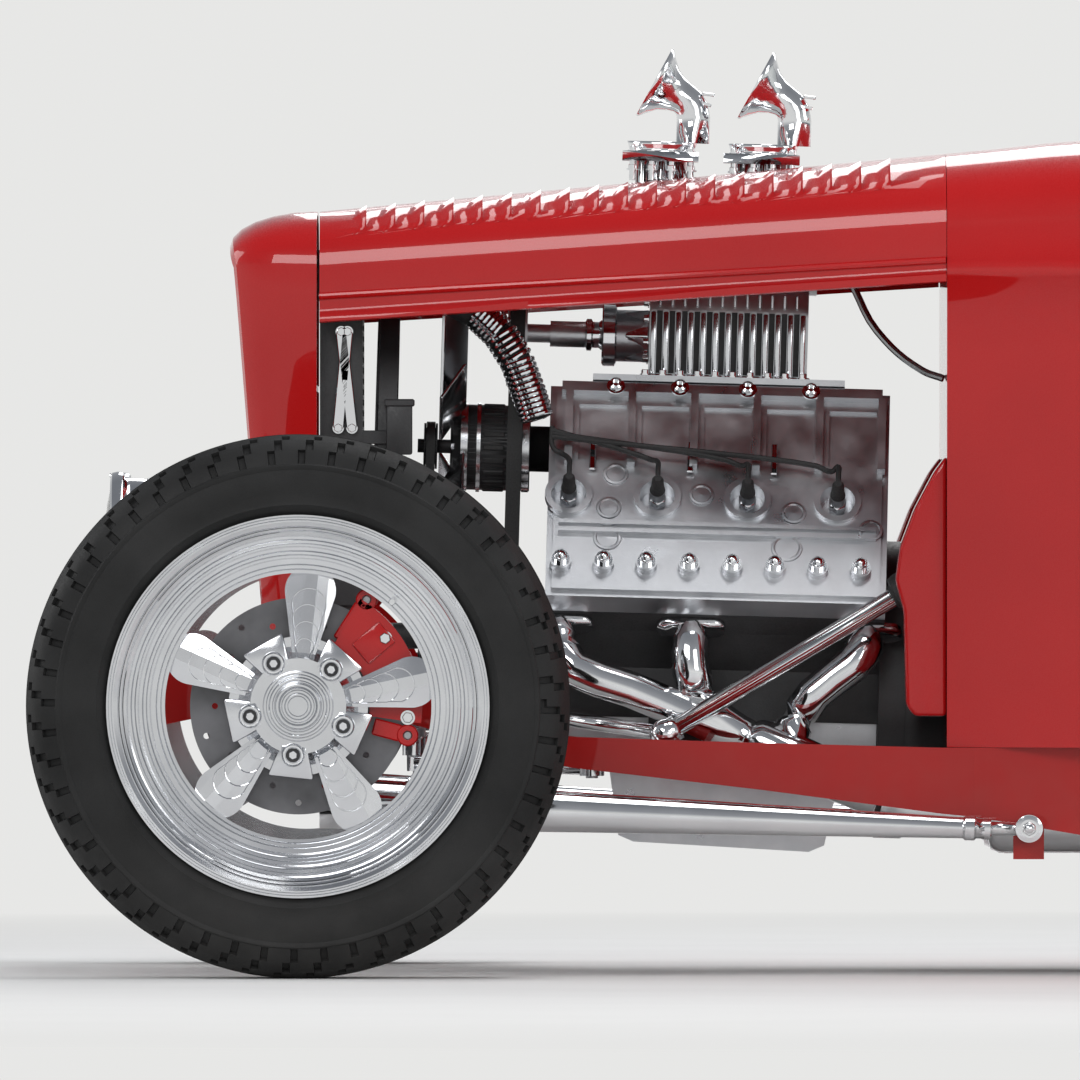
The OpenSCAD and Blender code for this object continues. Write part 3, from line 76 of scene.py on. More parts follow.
# Scene: camera at the photo's side view, soft lamps and a pale sky.
scene = bpy.context.scene
scene.view_settings.view_transform = "Standard"

shot = {"distance": 40.0, "height": 0.5655, "u": 312.0, "across": 1.404, "sensor": 36.0}
camData = bpy.data.cameras.new("camera")
camData.sensor_width = shot["sensor"]
camData.lens = shot["sensor"] * shot["distance"] / shot["across"]
camData.clip_end = 400.0
cam = bpy.data.objects.new("camera", camData)
cam.location = at(shot["u"], 0, 0) + Vector((0, shot["distance"] + 0.45, shot["height"]))
cam.rotation_euler = (math.pi / 2, 0.0, math.pi)
scene.collection.objects.link(cam)
scene.camera = cam

lamps = [
    # name, place, aim, width, height, watts
    ("keyLight", (3.0, 5.4, 3.6), (0.4, 0.0, 0.5), 3.2, 2.0, 120),
    ("sideLight", (-2.6, 5.6, 2.4), (-0.2, 0.0, 0.5), 2.4, 2.4, 62),
    ("topLight", (0.2, 0.0, 5.0), (0.0, 0.0, 0.0), 5.0, 1.8, 110),
    ("farLight", (-0.5, -5.4, 3.4), (0.0, 0.0, 0.6), 4.5, 2.4, 110),
    ("tailLight", (-5.4, 0.6, 2.8), (-0.6, 0.0, 0.6), 2.2, 2.2, 56),
    ("noseLight", (5.4, -0.8, 2.4), (0.8, 0.0, 0.6), 2.2, 2.2, 56),
]
for name, spot, aim, width, height, watts in lamps:
    data = bpy.data.lights.new(name, "AREA")
    data.shape = "RECTANGLE"
    data.size = width
    data.size_y = height
    data.energy = watts
    lamp = bpy.data.objects.new(name, data)
    lamp.location = spot
    lamp.rotation_euler = (Vector(aim) - Vector(spot)).to_track_quat("-Z", "Y").to_euler()
    scene.collection.objects.link(lamp)

backdrop = (0.80, 0.80, 0.79)
world = bpy.data.worlds.new("studio")
scene.world = world
world.use_nodes = True
tree = world.node_tree
sky = tree.nodes["Background"]
skyCoord = tree.nodes.new("ShaderNodeTexCoord")
skySplit = tree.nodes.new("ShaderNodeSeparateXYZ")
skyRamp = tree.nodes.new("ShaderNodeValToRGB")
tree.links.new(skyCoord.outputs["Generated"], skySplit.inputs["Vector"])
tree.links.new(skySplit.outputs["Z"], skyRamp.inputs["Fac"])
stops = skyRamp.color_ramp.elements
stops[0].position, stops[0].color = 0.02, (*backdrop, 1)
stops[1].position, stops[1].color = 0.9, (0.20, 0.21, 0.23, 1)
middle = stops.new(0.30)
middle.color = (0.34, 0.35, 0.37, 1)
tree.links.new(skyRamp.outputs["Color"], sky.inputs["Color"])
sky.inputs["Strength"].default_value = 1.0


# Materials: procedural, read from Object coordinates.
def newLook(name):
    look = bpy.data.materials.new(name)
    look.use_nodes = True
    return look, look.node_tree, look.node_tree.nodes["Principled BSDF"]


def noiseOf(tree, where, scale, detail=3.0):
    n = tree.nodes.new("ShaderNodeTexNoise")
    n.inputs["Scale"].default_value = scale
    n.inputs["Detail"].default_value = detail
    tree.links.new(where, n.inputs["Vector"])
    return n.outputs["Fac"]


def rampOf(tree, fac, stops):
    r = tree.nodes.new("ShaderNodeValToRGB")
    line = r.color_ramp
    while len(line.elements) < len(stops):
        line.elements.new(0.5)
    for e, (spot, colour) in zip(line.elements, stops):
        e.position = spot
        e.color = (*colour, 1)
    tree.links.new(fac, r.inputs["Fac"])
    return r.outputs["Color"]


def rangeOf(tree, fac, low, high):
    r = tree.nodes.new("ShaderNodeMapRange")
    r.inputs["From Min"].default_value = 0.3
    r.inputs["From Max"].default_value = 0.7
    r.inputs["To Min"].default_value = low
    r.inputs["To Max"].default_value = high
    tree.links.new(fac, r.inputs["Value"])
    return r.outputs["Result"]


def bumpOf(tree, height, strength, depth):
    b = tree.nodes.new("ShaderNodeBump")
    b.inputs["Strength"].default_value = strength
    b.inputs["Distance"].default_value = depth
    tree.links.new(height, b.inputs["Height"])
    return b.outputs["Normal"]


def finish(name, dark, light, rough, metal=0.0, coarse=6.0, fine=220.0, bump=0.04, depth=0.0006,
           coat=0.0, stretch=None, dust=None, shine=0.5):
    look, tree, bsdf = newLook(name)
    where = tree.nodes.new("ShaderNodeTexCoord").outputs["Object"]
    fineAt = where
    if stretch:
        mapping = tree.nodes.new("ShaderNodeMapping")
        mapping.inputs["Scale"].default_value = stretch
        tree.links.new(where, mapping.inputs["Vector"])
        fineAt = mapping.outputs["Vector"]
    cloud = noiseOf(tree, where, coarse, 4.0)
    grain = noiseOf(tree, fineAt, fine, 2.0)
    colour = rampOf(tree, cloud, [(0.32, dark), (0.70, light)])
    if dust:
        # a thin film that gathers low on the car
        split = tree.nodes.new("ShaderNodeSeparateXYZ")
        tree.links.new(where, split.inputs["Vector"])
        fade = rampOf(tree, split.outputs["Z"], [(0.0, (0.30, 0.30, 0.30)), (dust[1], (0.0, 0.0, 0.0))])
        film = tree.nodes.new("ShaderNodeMixRGB")
        film.inputs["Color2"].default_value = (*dust[0], 1)
        spots = tree.nodes.new("ShaderNodeMath")
        spots.operation = "MULTIPLY"
        tree.links.new(fade, spots.inputs[0])
        tree.links.new(noiseOf(tree, where, 26.0, 5.0), spots.inputs[1])
        tree.links.new(spots.outputs["Value"], film.inputs["Fac"])
        tree.links.new(colour, film.inputs["Color1"])
        colour = film.outputs["Color"]
    tree.links.new(colour, bsdf.inputs["Base Color"])
    tree.links.new(rangeOf(tree, cloud if metal else grain, rough[0], rough[1]), bsdf.inputs["Roughness"])
    tree.links.new(bumpOf(tree, grain, bump, depth), bsdf.inputs["Normal"])
    bsdf.inputs["Metallic"].default_value = metal
    bsdf.inputs["Specular IOR Level"].default_value = shine
    if coat:
        bsdf.inputs["Coat Weight"].default_value = coat
        bsdf.inputs["Coat Roughness"].default_value = 0.03
    return look


redPaint = finish("redPaint", (0.40, 0.006, 0.007), (0.50, 0.010, 0.010), (0.22, 0.34), coarse=1.6, fine=900,
                  bump=0.02, depth=0.0002, coat=0.8, shine=0.08)
frameRed = finish("frameRed", (0.34, 0.006, 0.006), (0.44, 0.010, 0.009), (0.30, 0.44), coarse=2.4, fine=700,
                  bump=0.03, depth=0.0003, coat=0.5, dust=((0.16, 0.12, 0.10), 0.45), shine=0.1)
chrome = finish("chrome", (0.70, 0.71, 0.73), (0.82, 0.83, 0.84), (0.04, 0.12), 1.0, coarse=9, fine=90,
                bump=0.012, depth=0.0002)
polished = finish("polishedAlloy", (0.62, 0.63, 0.65), (0.76, 0.77, 0.79), (0.10, 0.24), 1.0, coarse=8,
                  fine=160, bump=0.03, depth=0.0003)
castAlloy = finish("castAlloy", (0.48, 0.49, 0.51), (0.66, 0.67, 0.69), (0.26, 0.44), 1.0, coarse=14,
                   fine=420, bump=0.14, depth=0.0006)
blackIron = finish("blackIron", (0.018, 0.018, 0.019), (0.042, 0.042, 0.044), (0.40, 0.62), coarse=12,
                   fine=380, bump=0.20, depth=0.0008)
bareSteel = finish("bareSteel", (0.34, 0.35, 0.36), (0.48, 0.49, 0.50), (0.22, 0.40), 1.0, coarse=10,
                   fine=140, bump=0.06, depth=0.0004, stretch=(1, 9, 9))
blackRubber = finish("blackRubber", (0.011, 0.011, 0.011), (0.026, 0.026, 0.027), (0.52, 0.78), coarse=7,
                     fine=500, bump=0.12, depth=0.0005)
tyreRubber = finish("tyreRubber", (0.010, 0.010, 0.010), (0.022, 0.022, 0.022), (0.48, 0.70), coarse=9,
                    fine=620, bump=0.12, depth=0.0005, dust=((0.09, 0.085, 0.08), 0.22), shine=0.22)
discIron = finish("discIron", (0.11, 0.11, 0.115), (0.19, 0.19, 0.20), (0.30, 0.46), 0.9, coarse=16, fine=300,
                  bump=0.08, depth=0.0004)
bakelite = finish("bakelite", (0.012, 0.010, 0.009), (0.030, 0.024, 0.020), (0.12, 0.24), coarse=20, fine=700,
                  bump=0.02, depth=0.0002, coat=0.5)
carpet = finish("carpet", (0.018, 0.015, 0.013), (0.060, 0.050, 0.042), (0.85, 1.0), coarse=40, fine=900,
                bump=0.7, depth=0.003)
leather = finish("tanLeather", (0.20, 0.095, 0.040), (0.31, 0.155, 0.068), (0.34, 0.56), coarse=5, fine=330,
                 bump=0.24, depth=0.0009)
enamel = finish("whiteEnamel", (0.70, 0.69, 0.66), (0.80, 0.79, 0.76), (0.18, 0.30), coarse=30, fine=600,
                bump=0.01, depth=0.0001)


def glassOf(name, tint, rough, through=1.0):
    look, tree, bsdf = newLook(name)
    where = tree.nodes.new("ShaderNodeTexCoord").outputs["Object"]
    bsdf.inputs["Base Color"].default_value = (*tint, 1)
    bsdf.inputs["Transmission Weight"].default_value = through
    bsdf.inputs["IOR"].default_value = 1.45
    haze = noiseOf(tree, where, 9.0)
    tree.links.new(rangeOf(tree, haze, rough, rough + 0.03), bsdf.inputs["Roughness"])
    return look


clearGlass = glassOf("clearGlass", (0.95, 0.98, 0.97), 0.0)
redGlass = glassOf("redGlass", (0.55, 0.008, 0.008), 0.06, 0.3)

dressing = {
    redPaint: ["grille_shell", "hood", "cowl", "firewall", "door_left", "door_right", "rear_body", "boot_lid",
               "dashboard", "caliper_left", "caliper_right"],
    frameRed: ["frame", "fuel_tank"],
    chrome: ["front_axle", "radius_rods", "rear_suspension", "grille_bars", "hinges", "windshield_frame",
             "steering_column", "drag_link", "tie_rod", "headers", "exhaust", "headlamps", "carburettors"],
    polished: ["wheel_front_left", "wheel_front_right", "wheel_rear_left", "wheel_rear_right"],
    castAlloy: ["heads", "oil_pan", "blower"],
    blackIron: ["rear_axle", "radiator", "engine_block", "generator", "transmission", "crank_pulley"],
    bakelite: ["steering_wheel"],
    bareSteel: ["front_spring", "pitman_arm", "knuckle_left", "knuckle_right"],
    discIron: ["disc_left", "disc_right"],
    blackRubber: ["belts", "hoses"],
    tyreRubber: ["tyre_front_left", "tyre_front_right", "tyre_rear_left", "tyre_rear_right"],
    clearGlass: ["windshield_glass", "headlamp_lenses"],
    redGlass: ["tail_lamps"],
    leather: ["seat"],
    carpet: ["floor"],
}
for look, names in dressing.items():
    for name in names:
        nodes[name].data.materials.clear()
        nodes[name].data.materials.append(look)
print("materials set")


# Shape helpers: each makes its shape in its own bmesh, in metres, then adds it in place.
def addTo(bm, part, place):
    bmesh.ops.transform(part, matrix=place, verts=part.verts)
    mesh = bpy.data.meshes.new("shape")
    part.to_mesh(mesh)
    part.free()
    bm.from_mesh(mesh)
    bpy.data.meshes.remove(mesh)


def bevelAll(part, offset, segments=1):
    if offset:
        bmesh.ops.bevel(part, geom=part.edges[:], offset=offset * 0.001, segments=segments, affect="EDGES",
                        profile=0.5, material=-1, clamp_overlap=True)


def post(bm, place, radius, height, top=None, sides=24, bevel=0.0):
    part = bmesh.new()
    up = Matrix.Translation((0, 0, height * 0.0005))
    bmesh.ops.create_cone(part, cap_ends=True, segments=sides, radius1=radius * 0.001,
                          radius2=(radius if top is None else top) * 0.001, depth=height * 0.001, matrix=up)
    bevelAll(part, bevel)
    addTo(bm, part, place)


def slab(bm, place, low, high, bevel=0.0, segments=1):
    part = bmesh.new()
    size = [(b - a) * 0.001 for a, b in zip(low, high)]
    mid = [(b + a) * 0.0005 for a, b in zip(low, high)]
    bmesh.ops.create_cube(part, size=1.0, matrix=Matrix.Translation(mid) @ Matrix.Diagonal((*size, 1)))
    bevelAll(part, bevel, segments)
    addTo(bm, part, place)


def turn(bm, place, profile, steps=48, close=False):
    part = bmesh.new()
    line = [part.verts.new((r * 0.001, 0, z * 0.001)) for r, z in profile]
    edges = [part.edges.new(pair) for pair in zip(line, line[1:])]
    if close:
        edges.append(part.edges.new((line[-1], line[0])))
    bmesh.ops.spin(part, geom=line + edges, cent=(0, 0, 0), axis=(0, 0, 1), angle=2 * math.pi, steps=steps,
                   use_merge=True, use_duplicate=False)
    bmesh.ops.remove_doubles(part, verts=part.verts, dist=1e-6)
    bmesh.ops.recalc_face_normals(part, faces=part.faces)
    addTo(bm, part, place)


def hoop(bm, place, radius, thick, steps=40, sides=10):
    circle = [(radius + thick * math.cos(2 * math.pi * k / sides), thick * math.sin(2 * math.pi * k / sides))
              for k in range(sides)]
    turn(bm, place, circle, steps, close=True)


def hexNut(bm, place, radius, height, dome=True):
    post(bm, place, radius * 1.25, height * 0.16, sides=24)
    post(bm, place, radius, height * 0.8, sides=6, bevel=radius * 0.12)
    if dome:
        crown = [(radius * 0.72, 0), (radius * 0.66, height * 0.2), (radius * 0.4, height * 0.36),
                 (0.01, height * 0.42)]
        turn(bm, place @ Matrix.Translation((0, 0, height * 0.0007)), crown, 20)


def sideBlock(outline, inner, outer, side):
    part = bmesh.new()
    face = part.faces.new([part.verts.new(at(u, side * inner, z)) for u, z in outline])
    grown = bmesh.ops.extrude_face_region(part, geom=[face])
    bmesh.ops.translate(part, verts=[g for g in grown["geom"] if isinstance(g, bmesh.types.BMVert)],
                        vec=(0, side * (outer - inner) * 0.001, 0))
    bmesh.ops.recalc_face_normals(part, faces=part.faces)
    return part


def piece(name, bm, look, body, angle=32.0, turnOut=True):
    bmesh.ops.remove_doubles(bm, verts=bm.verts, dist=1e-6)
    if turnOut:
        bmesh.ops.recalc_face_normals(bm, faces=bm.faces)
    mesh = bpy.data.meshes.new(name)
    bm.to_mesh(mesh)
    bm.free()
    mesh.shade_smooth()
    mesh.set_sharp_from_angle(angle=math.radians(angle))
    mesh.materials.append(look)
    obj = bpy.data.objects.new(name, mesh)
    scene.collection.objects.link(obj)
    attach(obj, body)
    return obj


def runLine(bm, points, radius, sides=10, smooth=True):
    curve = bpy.data.curves.new("run", "CURVE")
    curve.dimensions = "3D"
    curve.bevel_depth = radius * 0.001
    curve.bevel_resolution = max(1, sides // 4)
    curve.use_fill_caps = True
    line = curve.splines.new("BEZIER" if smooth else "POLY")
    if smooth:
        line.bezier_points.add(len(points) - 1)
        for knot, p in zip(line.bezier_points, points):
            knot.co = p
            knot.handle_left_type = knot.handle_right_type = "AUTO"
        line.resolution_u = 6
    else:
        line.points.add(len(points) - 1)
        for knot, p in zip(line.points, points):
            knot.co = (*p, 1)
    holder = bpy.data.objects.new("run", curve)
    mesh = bpy.data.meshes.new_from_object(holder)
    bm.from_mesh(mesh)
    bpy.data.meshes.remove(mesh)
    bpy.data.objects.remove(holder)
    bpy.data.curves.remove(curve)


# Wheels: local x to the image's right, y up and z outboard, as seen from outside the car.
def wheelFrame(end, side):
    rear = end == "rear"
    middle = at(layout["wheelbase"] if rear else 0, side * layout[end + "Track"] / 2, layout[end + "Radius"])
    spin = Matrix(((-1, 0, 0, 0), (0, 0, side, 0), (0, 1, 0, 0), (0, 0, 0, 1)))
    return Matrix.Translation(middle) @ spin


tread = {"lugs": 52, "columns": 4, "notchDepth": 5.5, "grooveDepth": 7.0, "grooveWidth": 8.0}


def tyreProfile(radius, half):
    grooves = [half * 0.22, half * 0.58]
    crown = []
    for z in grooves:
        w = tread["grooveWidth"] / 2
        crown += [(radius, z - w), (radius - tread["grooveDepth"], z - w + 1),
                  (radius - tread["grooveDepth"], z + w - 1), (radius - 0.6, z + w)]
    edge = half - 40
    outer = [(radius - 2.5, edge), (radius - 7, half - 28), (radius - 13, half - 19),
             (radius - 20, half - 12.5), (radius - 30, half - 6.5), (radius - 38, half - 3.6),
             (radius - 40, half - 1.2), (radius - 44, half - 1.2), (radius - 46, half - 2.2),
             (radius - 58, half), (277, half - 0.4), (264, half - 1.8), (260, half - 0.6), (256, half - 3.4),
             (247.5, half - 14.5), (237, half - 17), (229.2, half - 19.5)]
    side = crown + outer
    return [(r, -z) for r, z in reversed(side)] + side


for end in ("front", "rear"):
    radius, half = layout[end + "Radius"], layout[end + "Width"] / 2
    profile = tyreProfile(radius, half)
    for side, word in ((1, "left"), (-1, "right")):
        part = bmesh.new()
        line = [part.verts.new((r * 0.001, 0, z * 0.001)) for r, z in profile]
        loop = [part.edges.new((a, b)) for a, b in zip(line, line[1:] + line[:1])]
        count = tread["lugs"] * tread["columns"]
        bmesh.ops.spin(part, geom=line + loop, cent=(0, 0, 0), axis=(0, 0, 1), angle=2 * math.pi, steps=count,
                       use_merge=True, use_duplicate=False)
        bmesh.ops.remove_doubles(part, verts=part.verts, dist=1e-6)
        bmesh.ops.recalc_face_normals(part, faces=part.faces)
        notches = []
        for face in part.faces:
            spot = face.calc_center_median() * 1000
            reach = math.hypot(spot.x, spot.y)
            column = int(math.floor(math.atan2(spot.y, spot.x) / (2 * math.pi) * count + 0.5))
            depth = radius - reach
            off = abs(spot.z)
            slant = 0 if depth > 24 else 1 if depth > 9 else 2
            if off > half - 41 and 1.5 < depth < 37 and (column + (slant if spot.z > 0 else -slant)) % 4 == 0:
                notches.append(face)
            elif half * 0.22 + 6 < off < half * 0.58 - 6 and depth < 3 and (column + 2) % 4 == 0:
                notches.append(face)
            elif off < half * 0.22 - 6 and depth < 3 and column % 8 == 0:
                notches.append(face)
        bmesh.ops.inset_region(part, faces=notches, thickness=0.0011, depth=-tread["notchDepth"] * 0.001,
                               use_boundary=True, use_even_offset=True)
        bm = bmesh.new()
        addTo(bm, part, wheelFrame(end, side))
        node = f"tyre_{end}_{word}"
        cover = piece(f"treadedTyre_{end}_{word}", bm, tyreRubber, f"wheel_{end}_{word}", 28)
        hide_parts(node)
print("tyres made")

hub = {"padIn": 50, "padOut": 93, "padNarrow": 17, "padWide": 30, "nutCircle": 63.5, "spokeTurn": 6,
       "nut": ((8.8, -1), (9.2, 3.4), (10.6, 5), (12.6, 5), (14, 3.6), (15.4, 0.4), (15.4, -2))}
for end in ("front", "rear"):
    face = layout[end + "Width"] / 2 - 8 - 72
    for side, word in ((1, "left"), (-1, "right")):
        place = wheelFrame(end, side)
        pads, nuts, wellShade = bmesh.new(), bmesh.new(), bmesh.new()
        for i in range(5):
            way = Matrix.Rotation(-math.radians(hub["spokeTurn"] + 36 + 72 * i), 4, "Z")
            block = bmesh.new()
            bmesh.ops.create_cube(block, size=1.0)
            for v in block.verts:
                out = v.co.y > 0
                v.co = Vector(((1 if v.co.x > 0 else -1) * (hub["padWide"] if out else hub["padNarrow"]),
                               hub["padOut"] if out else hub["padIn"],
                               (face + (19 if out else 23)) if v.co.z > 0 else 22)) * 0.001
            bevelAll(block, 4.0, 2)
            addTo(pads, block, place @ way)
            seat = place @ way @ Matrix.Translation((0, hub["nutCircle"] * 0.001, (face + 21.6) * 0.001))
            turn(nuts, seat, hub["nut"], 36)
            # a dark disc inside each nut: painted shade for the hollow of its well
            turn(wellShade, seat, [(9.6, 0.9), (5.8, 1.2), (0.01, 1.2)], 28)
            post(nuts, seat, 5.6, 3.4, sides=6, bevel=0.5)
            pin = place @ way @ Matrix.Rotation(math.radians(36), 4, "Z")
            turn(nuts, pin @ Matrix.Translation((0, 0.057, (face + 11) * 0.001)),
                 [(4.6, 0), (4.6, 6), (3.4, 8.4), (0.01, 9)], 16)
        stem = place @ Matrix.Rotation(math.radians(-42), 4, "Z")
        post(nuts, stem @ Matrix.Translation((0, 0.181, (face + 2) * 0.001)), 5.2, 18, 4.2, 16, 0.6)
        body = f"wheel_{end}_{word}"
        piece(f"hubPads_{end}_{word}", pads, polished, body)
        piece(f"lugNuts_{end}_{word}", nuts, chrome, body)
        piece(f"nutWellShade_{end}_{word}", wellShade, blackIron, body)
print("wheel fittings made")

# Calipers: three bolts on each.
for side, word in ((1, "left"), (-1, "right")):
    place = wheelFrame("front", side)
    bolts = bmesh.new()
    for angle in (52, 74, 96):
        spot = place @ Matrix.Rotation(-math.radians(angle), 4, "Z") @ Matrix.Translation((0, 0.142, 0.0090))
        hexNut(bolts, spot, 7.5, 7, dome=False)
    piece(f"caliperBolts_{word}", bolts, chrome, f"knuckle_{word}")
print("brakes dressed")

# Engine: x forward of its middle, y left, z above the crankshaft; the nose is tilted up.
motor = {"u": 552.0, "crank": 365.0, "tilt": 1.65, "headFoot": (262, 125), "headTurn": -58.9, "blower": 465.0,
         "generator": 313.0, "plugs": (342, 458, 576, 694), "carburettors": (452, 585)}
noseUp = Matrix.Rotation(-math.radians(motor["tilt"]), 4, "Y")
engine = Matrix.Translation(at(motor["u"], 0, motor["crank"])) @ noseUp
flip = Matrix.Diagonal((1, -1, 1, 1))


def inEngine(u, y, z):
    return Matrix.Translation(Vector((motor["u"] - u, y, z)) * 0.001)


def onEngine(u, y, z):
    return (engine @ inEngine(u, y, z)).to_translation()


def headFrame(side):
    foot = Matrix.Translation(Vector((0, *motor["headFoot"])) * 0.001)
    lean = Matrix.Rotation(math.radians(motor["headTurn"]), 4, "X")
    return engine @ (flip if side < 0 else Matrix()) @ foot @ lean


coreBosses = [(395, -132, 13), (516, -156, 13), (637, -132, 13), (403, -184, 13), (394, -86, 15),
              (629, -78, 17), (738, -108, 13)]
nuts, plugs, boots, bosses = bmesh.new(), bmesh.new(), bmesh.new(), bmesh.new()
for side in (1, -1):
    head = headFrame(side)
    for i in range(8):
        hexNut(nuts, head @ inEngine(334 + 56 * i, -46, 10), 9.5, 15)
    for u in (400, 484, 573, 656):
        spot = head @ inEngine(u, -311, 12)
        turn(nuts, spot, [(12, 0), (12, 2.5), (9, 3), (8.4, 9), (5.2, 10.5), (5, 6), (0.01, 6)], 24)
    for u, y, r in coreBosses:
        raised = [(r + 4, -0.5), (r + 3, 2.2), (r, 2.6), (r - 1.6, 0.6), (0.01, 1.2)]
        turn(bosses, head @ inEngine(u, y, 0), raised, 28)
    for u in motor["plugs"]:
        spot = head @ inEngine(u, -149, -21)
        post(nuts, spot @ Matrix.Translation((0, 0, 0.013)), 12.5, 12, sides=6, bevel=1.0)
        turn(plugs, spot @ Matrix.Translation((0, 0, 0.025)),
             [(8.5, 0), (8.5, 7), (7, 9), (7, 12), (7.6, 13), (7, 14), (7, 17), (6, 24), (0.01, 24)], 20)
        turn(boots, spot @ Matrix.Translation((0, 0, 0.040)),
             [(0.01, 0), (9.4, 0), (10.2, 2), (9.4, 5), (8.4, 14), (7.8, 26), (5, 32), (0.01, 32)], 18)
piece("headNuts", nuts, chrome, "chassis")
piece("coreBosses", bosses, castAlloy, "chassis")
piece("plugCeramics", plugs, enamel, "chassis")
piece("plugBoots", boots, blackRubber, "chassis")

wires = bmesh.new()
for side in (1, -1):
    head = headFrame(side)
    for i, u in enumerate(motor["plugs"]):
        course = [(318, -238 + 5 * i, 26), (max(u - 30, 321), -206 + 5 * i, 24), (u - 9, -196 + 5 * i, 27),
                  (u - 1, -182, 38), (u, -164, 47), (u, -151, 48)]
        runLine(wires, [(head @ inEngine(*p)).to_translation() for p in course], 3.6, 10)
piece("plugWires", wires, blackRubber, "chassis")

# Clips that hold the leads along the head.
clips = bmesh.new()
for side in (1, -1):
    head = headFrame(side)
    for u in (372, 500, 610):
        slab(clips, head @ inEngine(u, 0, 0), (-4, -232, 5), (4, -186, 9), 1.2)
piece("leadClips", clips, chrome, "chassis")
print("heads dressed")

# Blower: eight nuts round its front plate, and ten along its foot on each side.
trim = bmesh.new()
for k in range(8):
    a = math.radians(45 * k + 22.5)
    spot = engine @ inEngine(441, 74.4 * math.cos(a), motor["blower"] + 8 + 40 * math.sin(a))
    hexNut(trim, spot @ Matrix.Rotation(math.pi / 2, 4, "Y"), 6.0, 9, dome=False)
for side in (1, -1):
    for k in range(10):
        spot = engine @ inEngine(438 + 23 * k, side * 103, motor["blower"] - 51)
        hexNut(trim, spot, 5.6, 9, dome=False)
piece("blowerNuts", trim, chrome, "chassis")

# Carburettors: studs and nuts, scoop fins and the fuel rail with its feed.
fuel, studs, fins = bmesh.new(), bmesh.new(), bmesh.new()
carbZ = motor["blower"] + 84.3
for u in motor["carburettors"]:
    for side in (1, -1):
        for k in range(4):
            spot = engine @ inEngine(u + 38 - 25.4 * k, side * 36, carbZ + 121)
            post(studs, spot, 4.2, 25, sides=12)
            hexNut(studs, spot @ Matrix.Translation((0, 0, 0.013)), 6.4, 9, dome=False)
            hexNut(studs, engine @ inEngine(u + 38 - 25.4 * k, side * 36, carbZ + 159), 5.4, 7)
        for k in range(4):
            spot = engine @ inEngine(u + 30 - 20 * k, side * 52, carbZ + 32)
            hexNut(studs, spot @ Matrix.Rotation(-side * math.pi / 2, 4, "X"), 4.6, 7, dome=False)
    for k in range(4):
        rise = 26 + 13 * k
        back = 46 + 4 * k
        lean = Matrix.Rotation(math.radians(-24 + 6 * k), 4, "Y")
        spot = engine @ inEngine(u + back, 0, carbZ + 171 + rise)
        slab(fins, spot @ lean, (-9, -14, -2.2), (7, 14, 2.2), 0.8)
    runLine(fuel, [onEngine(u, y, carbZ + 40) for y in (88, 66, 50)], 5.5, 12, False)
runLine(fuel, [onEngine(u, 88, carbZ + 40) for u in (414, 452, 585, 640)], 7, 12, False)
feed = ((640, 88, carbZ + 40), (690, 96, carbZ + 10), (740, 120, 480), (800, 150, 430), (828, 160, 420))
runLine(fuel, [onEngine(*p) for p in feed], 5, 12)
piece("carburettorStuds", studs, chrome, "chassis")
piece("scoopFins", fins, chrome, "chassis")
piece("fuelRail", fuel, bareSteel, "chassis")
print("carburettors dressed")

# Generator bands, dark slabs of painted shade for its slots, fan blades, hose sleeves and clamps.
bands, slotShade, blades = bmesh.new(), bmesh.new(), bmesh.new()
gen = engine @ inEngine(motor["u"], 0, motor["generator"]) @ Matrix.Rotation(-math.pi / 2, 4, "Y")
for u, r, w in ((203, 57.4, 9), (222, 58.6, 5), (262, 58.6, 5), (284, 57.4, 9)):
    turn(bands, gen @ Matrix.Translation((0, 0, (u - motor["u"]) * 0.001)),
         [(r - 3, -w / 2), (r, -w / 2), (r, w / 2), (r - 3, w / 2)], 64, True)
for k in range(20):
    a = 2 * math.pi * k / 20
    row = gen @ Matrix.Rotation(a, 4, "Z")
    # each slot is a dark slab on the case: painted shade for the opening
    slab(slotShade, row, (54.5, -3.6, 228 - motor["u"]), (57.6, 3.6, 256 - motor["u"]), 1.2)
    if k % 5 == 0:
        runLine(bands, [row @ (Vector((46, 0, u - motor["u"])) * 0.001) for u in (186, 190)], 6, 12, False)
for k in range(6):
    arm = engine @ inEngine(187, 0, motor["generator"]) @ Matrix.Rotation(math.radians(60 * k), 4, "X")
    slab(blades, arm @ Matrix(((1, 0.58, 0, 0), (0, 1, 0, 0), (0, 0, 1, 0), (0, 0, 0, 1))),
         (-2.6, -26.6, 61.6), (2.6, 26.6, 172.6), 1.2)
piece("generatorBands", bands, polished, "chassis")
piece("generatorSlotShade", slotShade, blackRubber, "chassis")
piece("fanBlades", blades, polished, "chassis")

sleeves = bmesh.new()
for side in (1, -1):
    knots = [Vector(p) for p in (at(232, side * 135, 862), at(258, side * 139, 838), at(282, side * 142, 800),
                                 at(296, side * 146, 762), at(307, side * 150, 728))]
    steps = 22
    for k in range(steps):
        t = k / (steps - 1) * (len(knots) - 1)
        i = min(int(t), len(knots) - 2)
        spot = knots[i].lerp(knots[i + 1], t - i)
        hoop(sleeves, turned(spot, knots[i + 1] - knots[i]), 20.2, 3.6, 28, 8)
    for spot, way in ((at(96, side * 120, 905), (1, 0, 0)), (at(96, side * 130, 440), (1, 0, 0)),
                      (at(306, side * 118, 467), (1, 0, 0.1))):
        hoop(sleeves, turned(spot, way), 19.5, 2.6, 32, 6)
piece("hoseSleeves", sleeves, chrome, "chassis")
print("generator and hoses dressed")

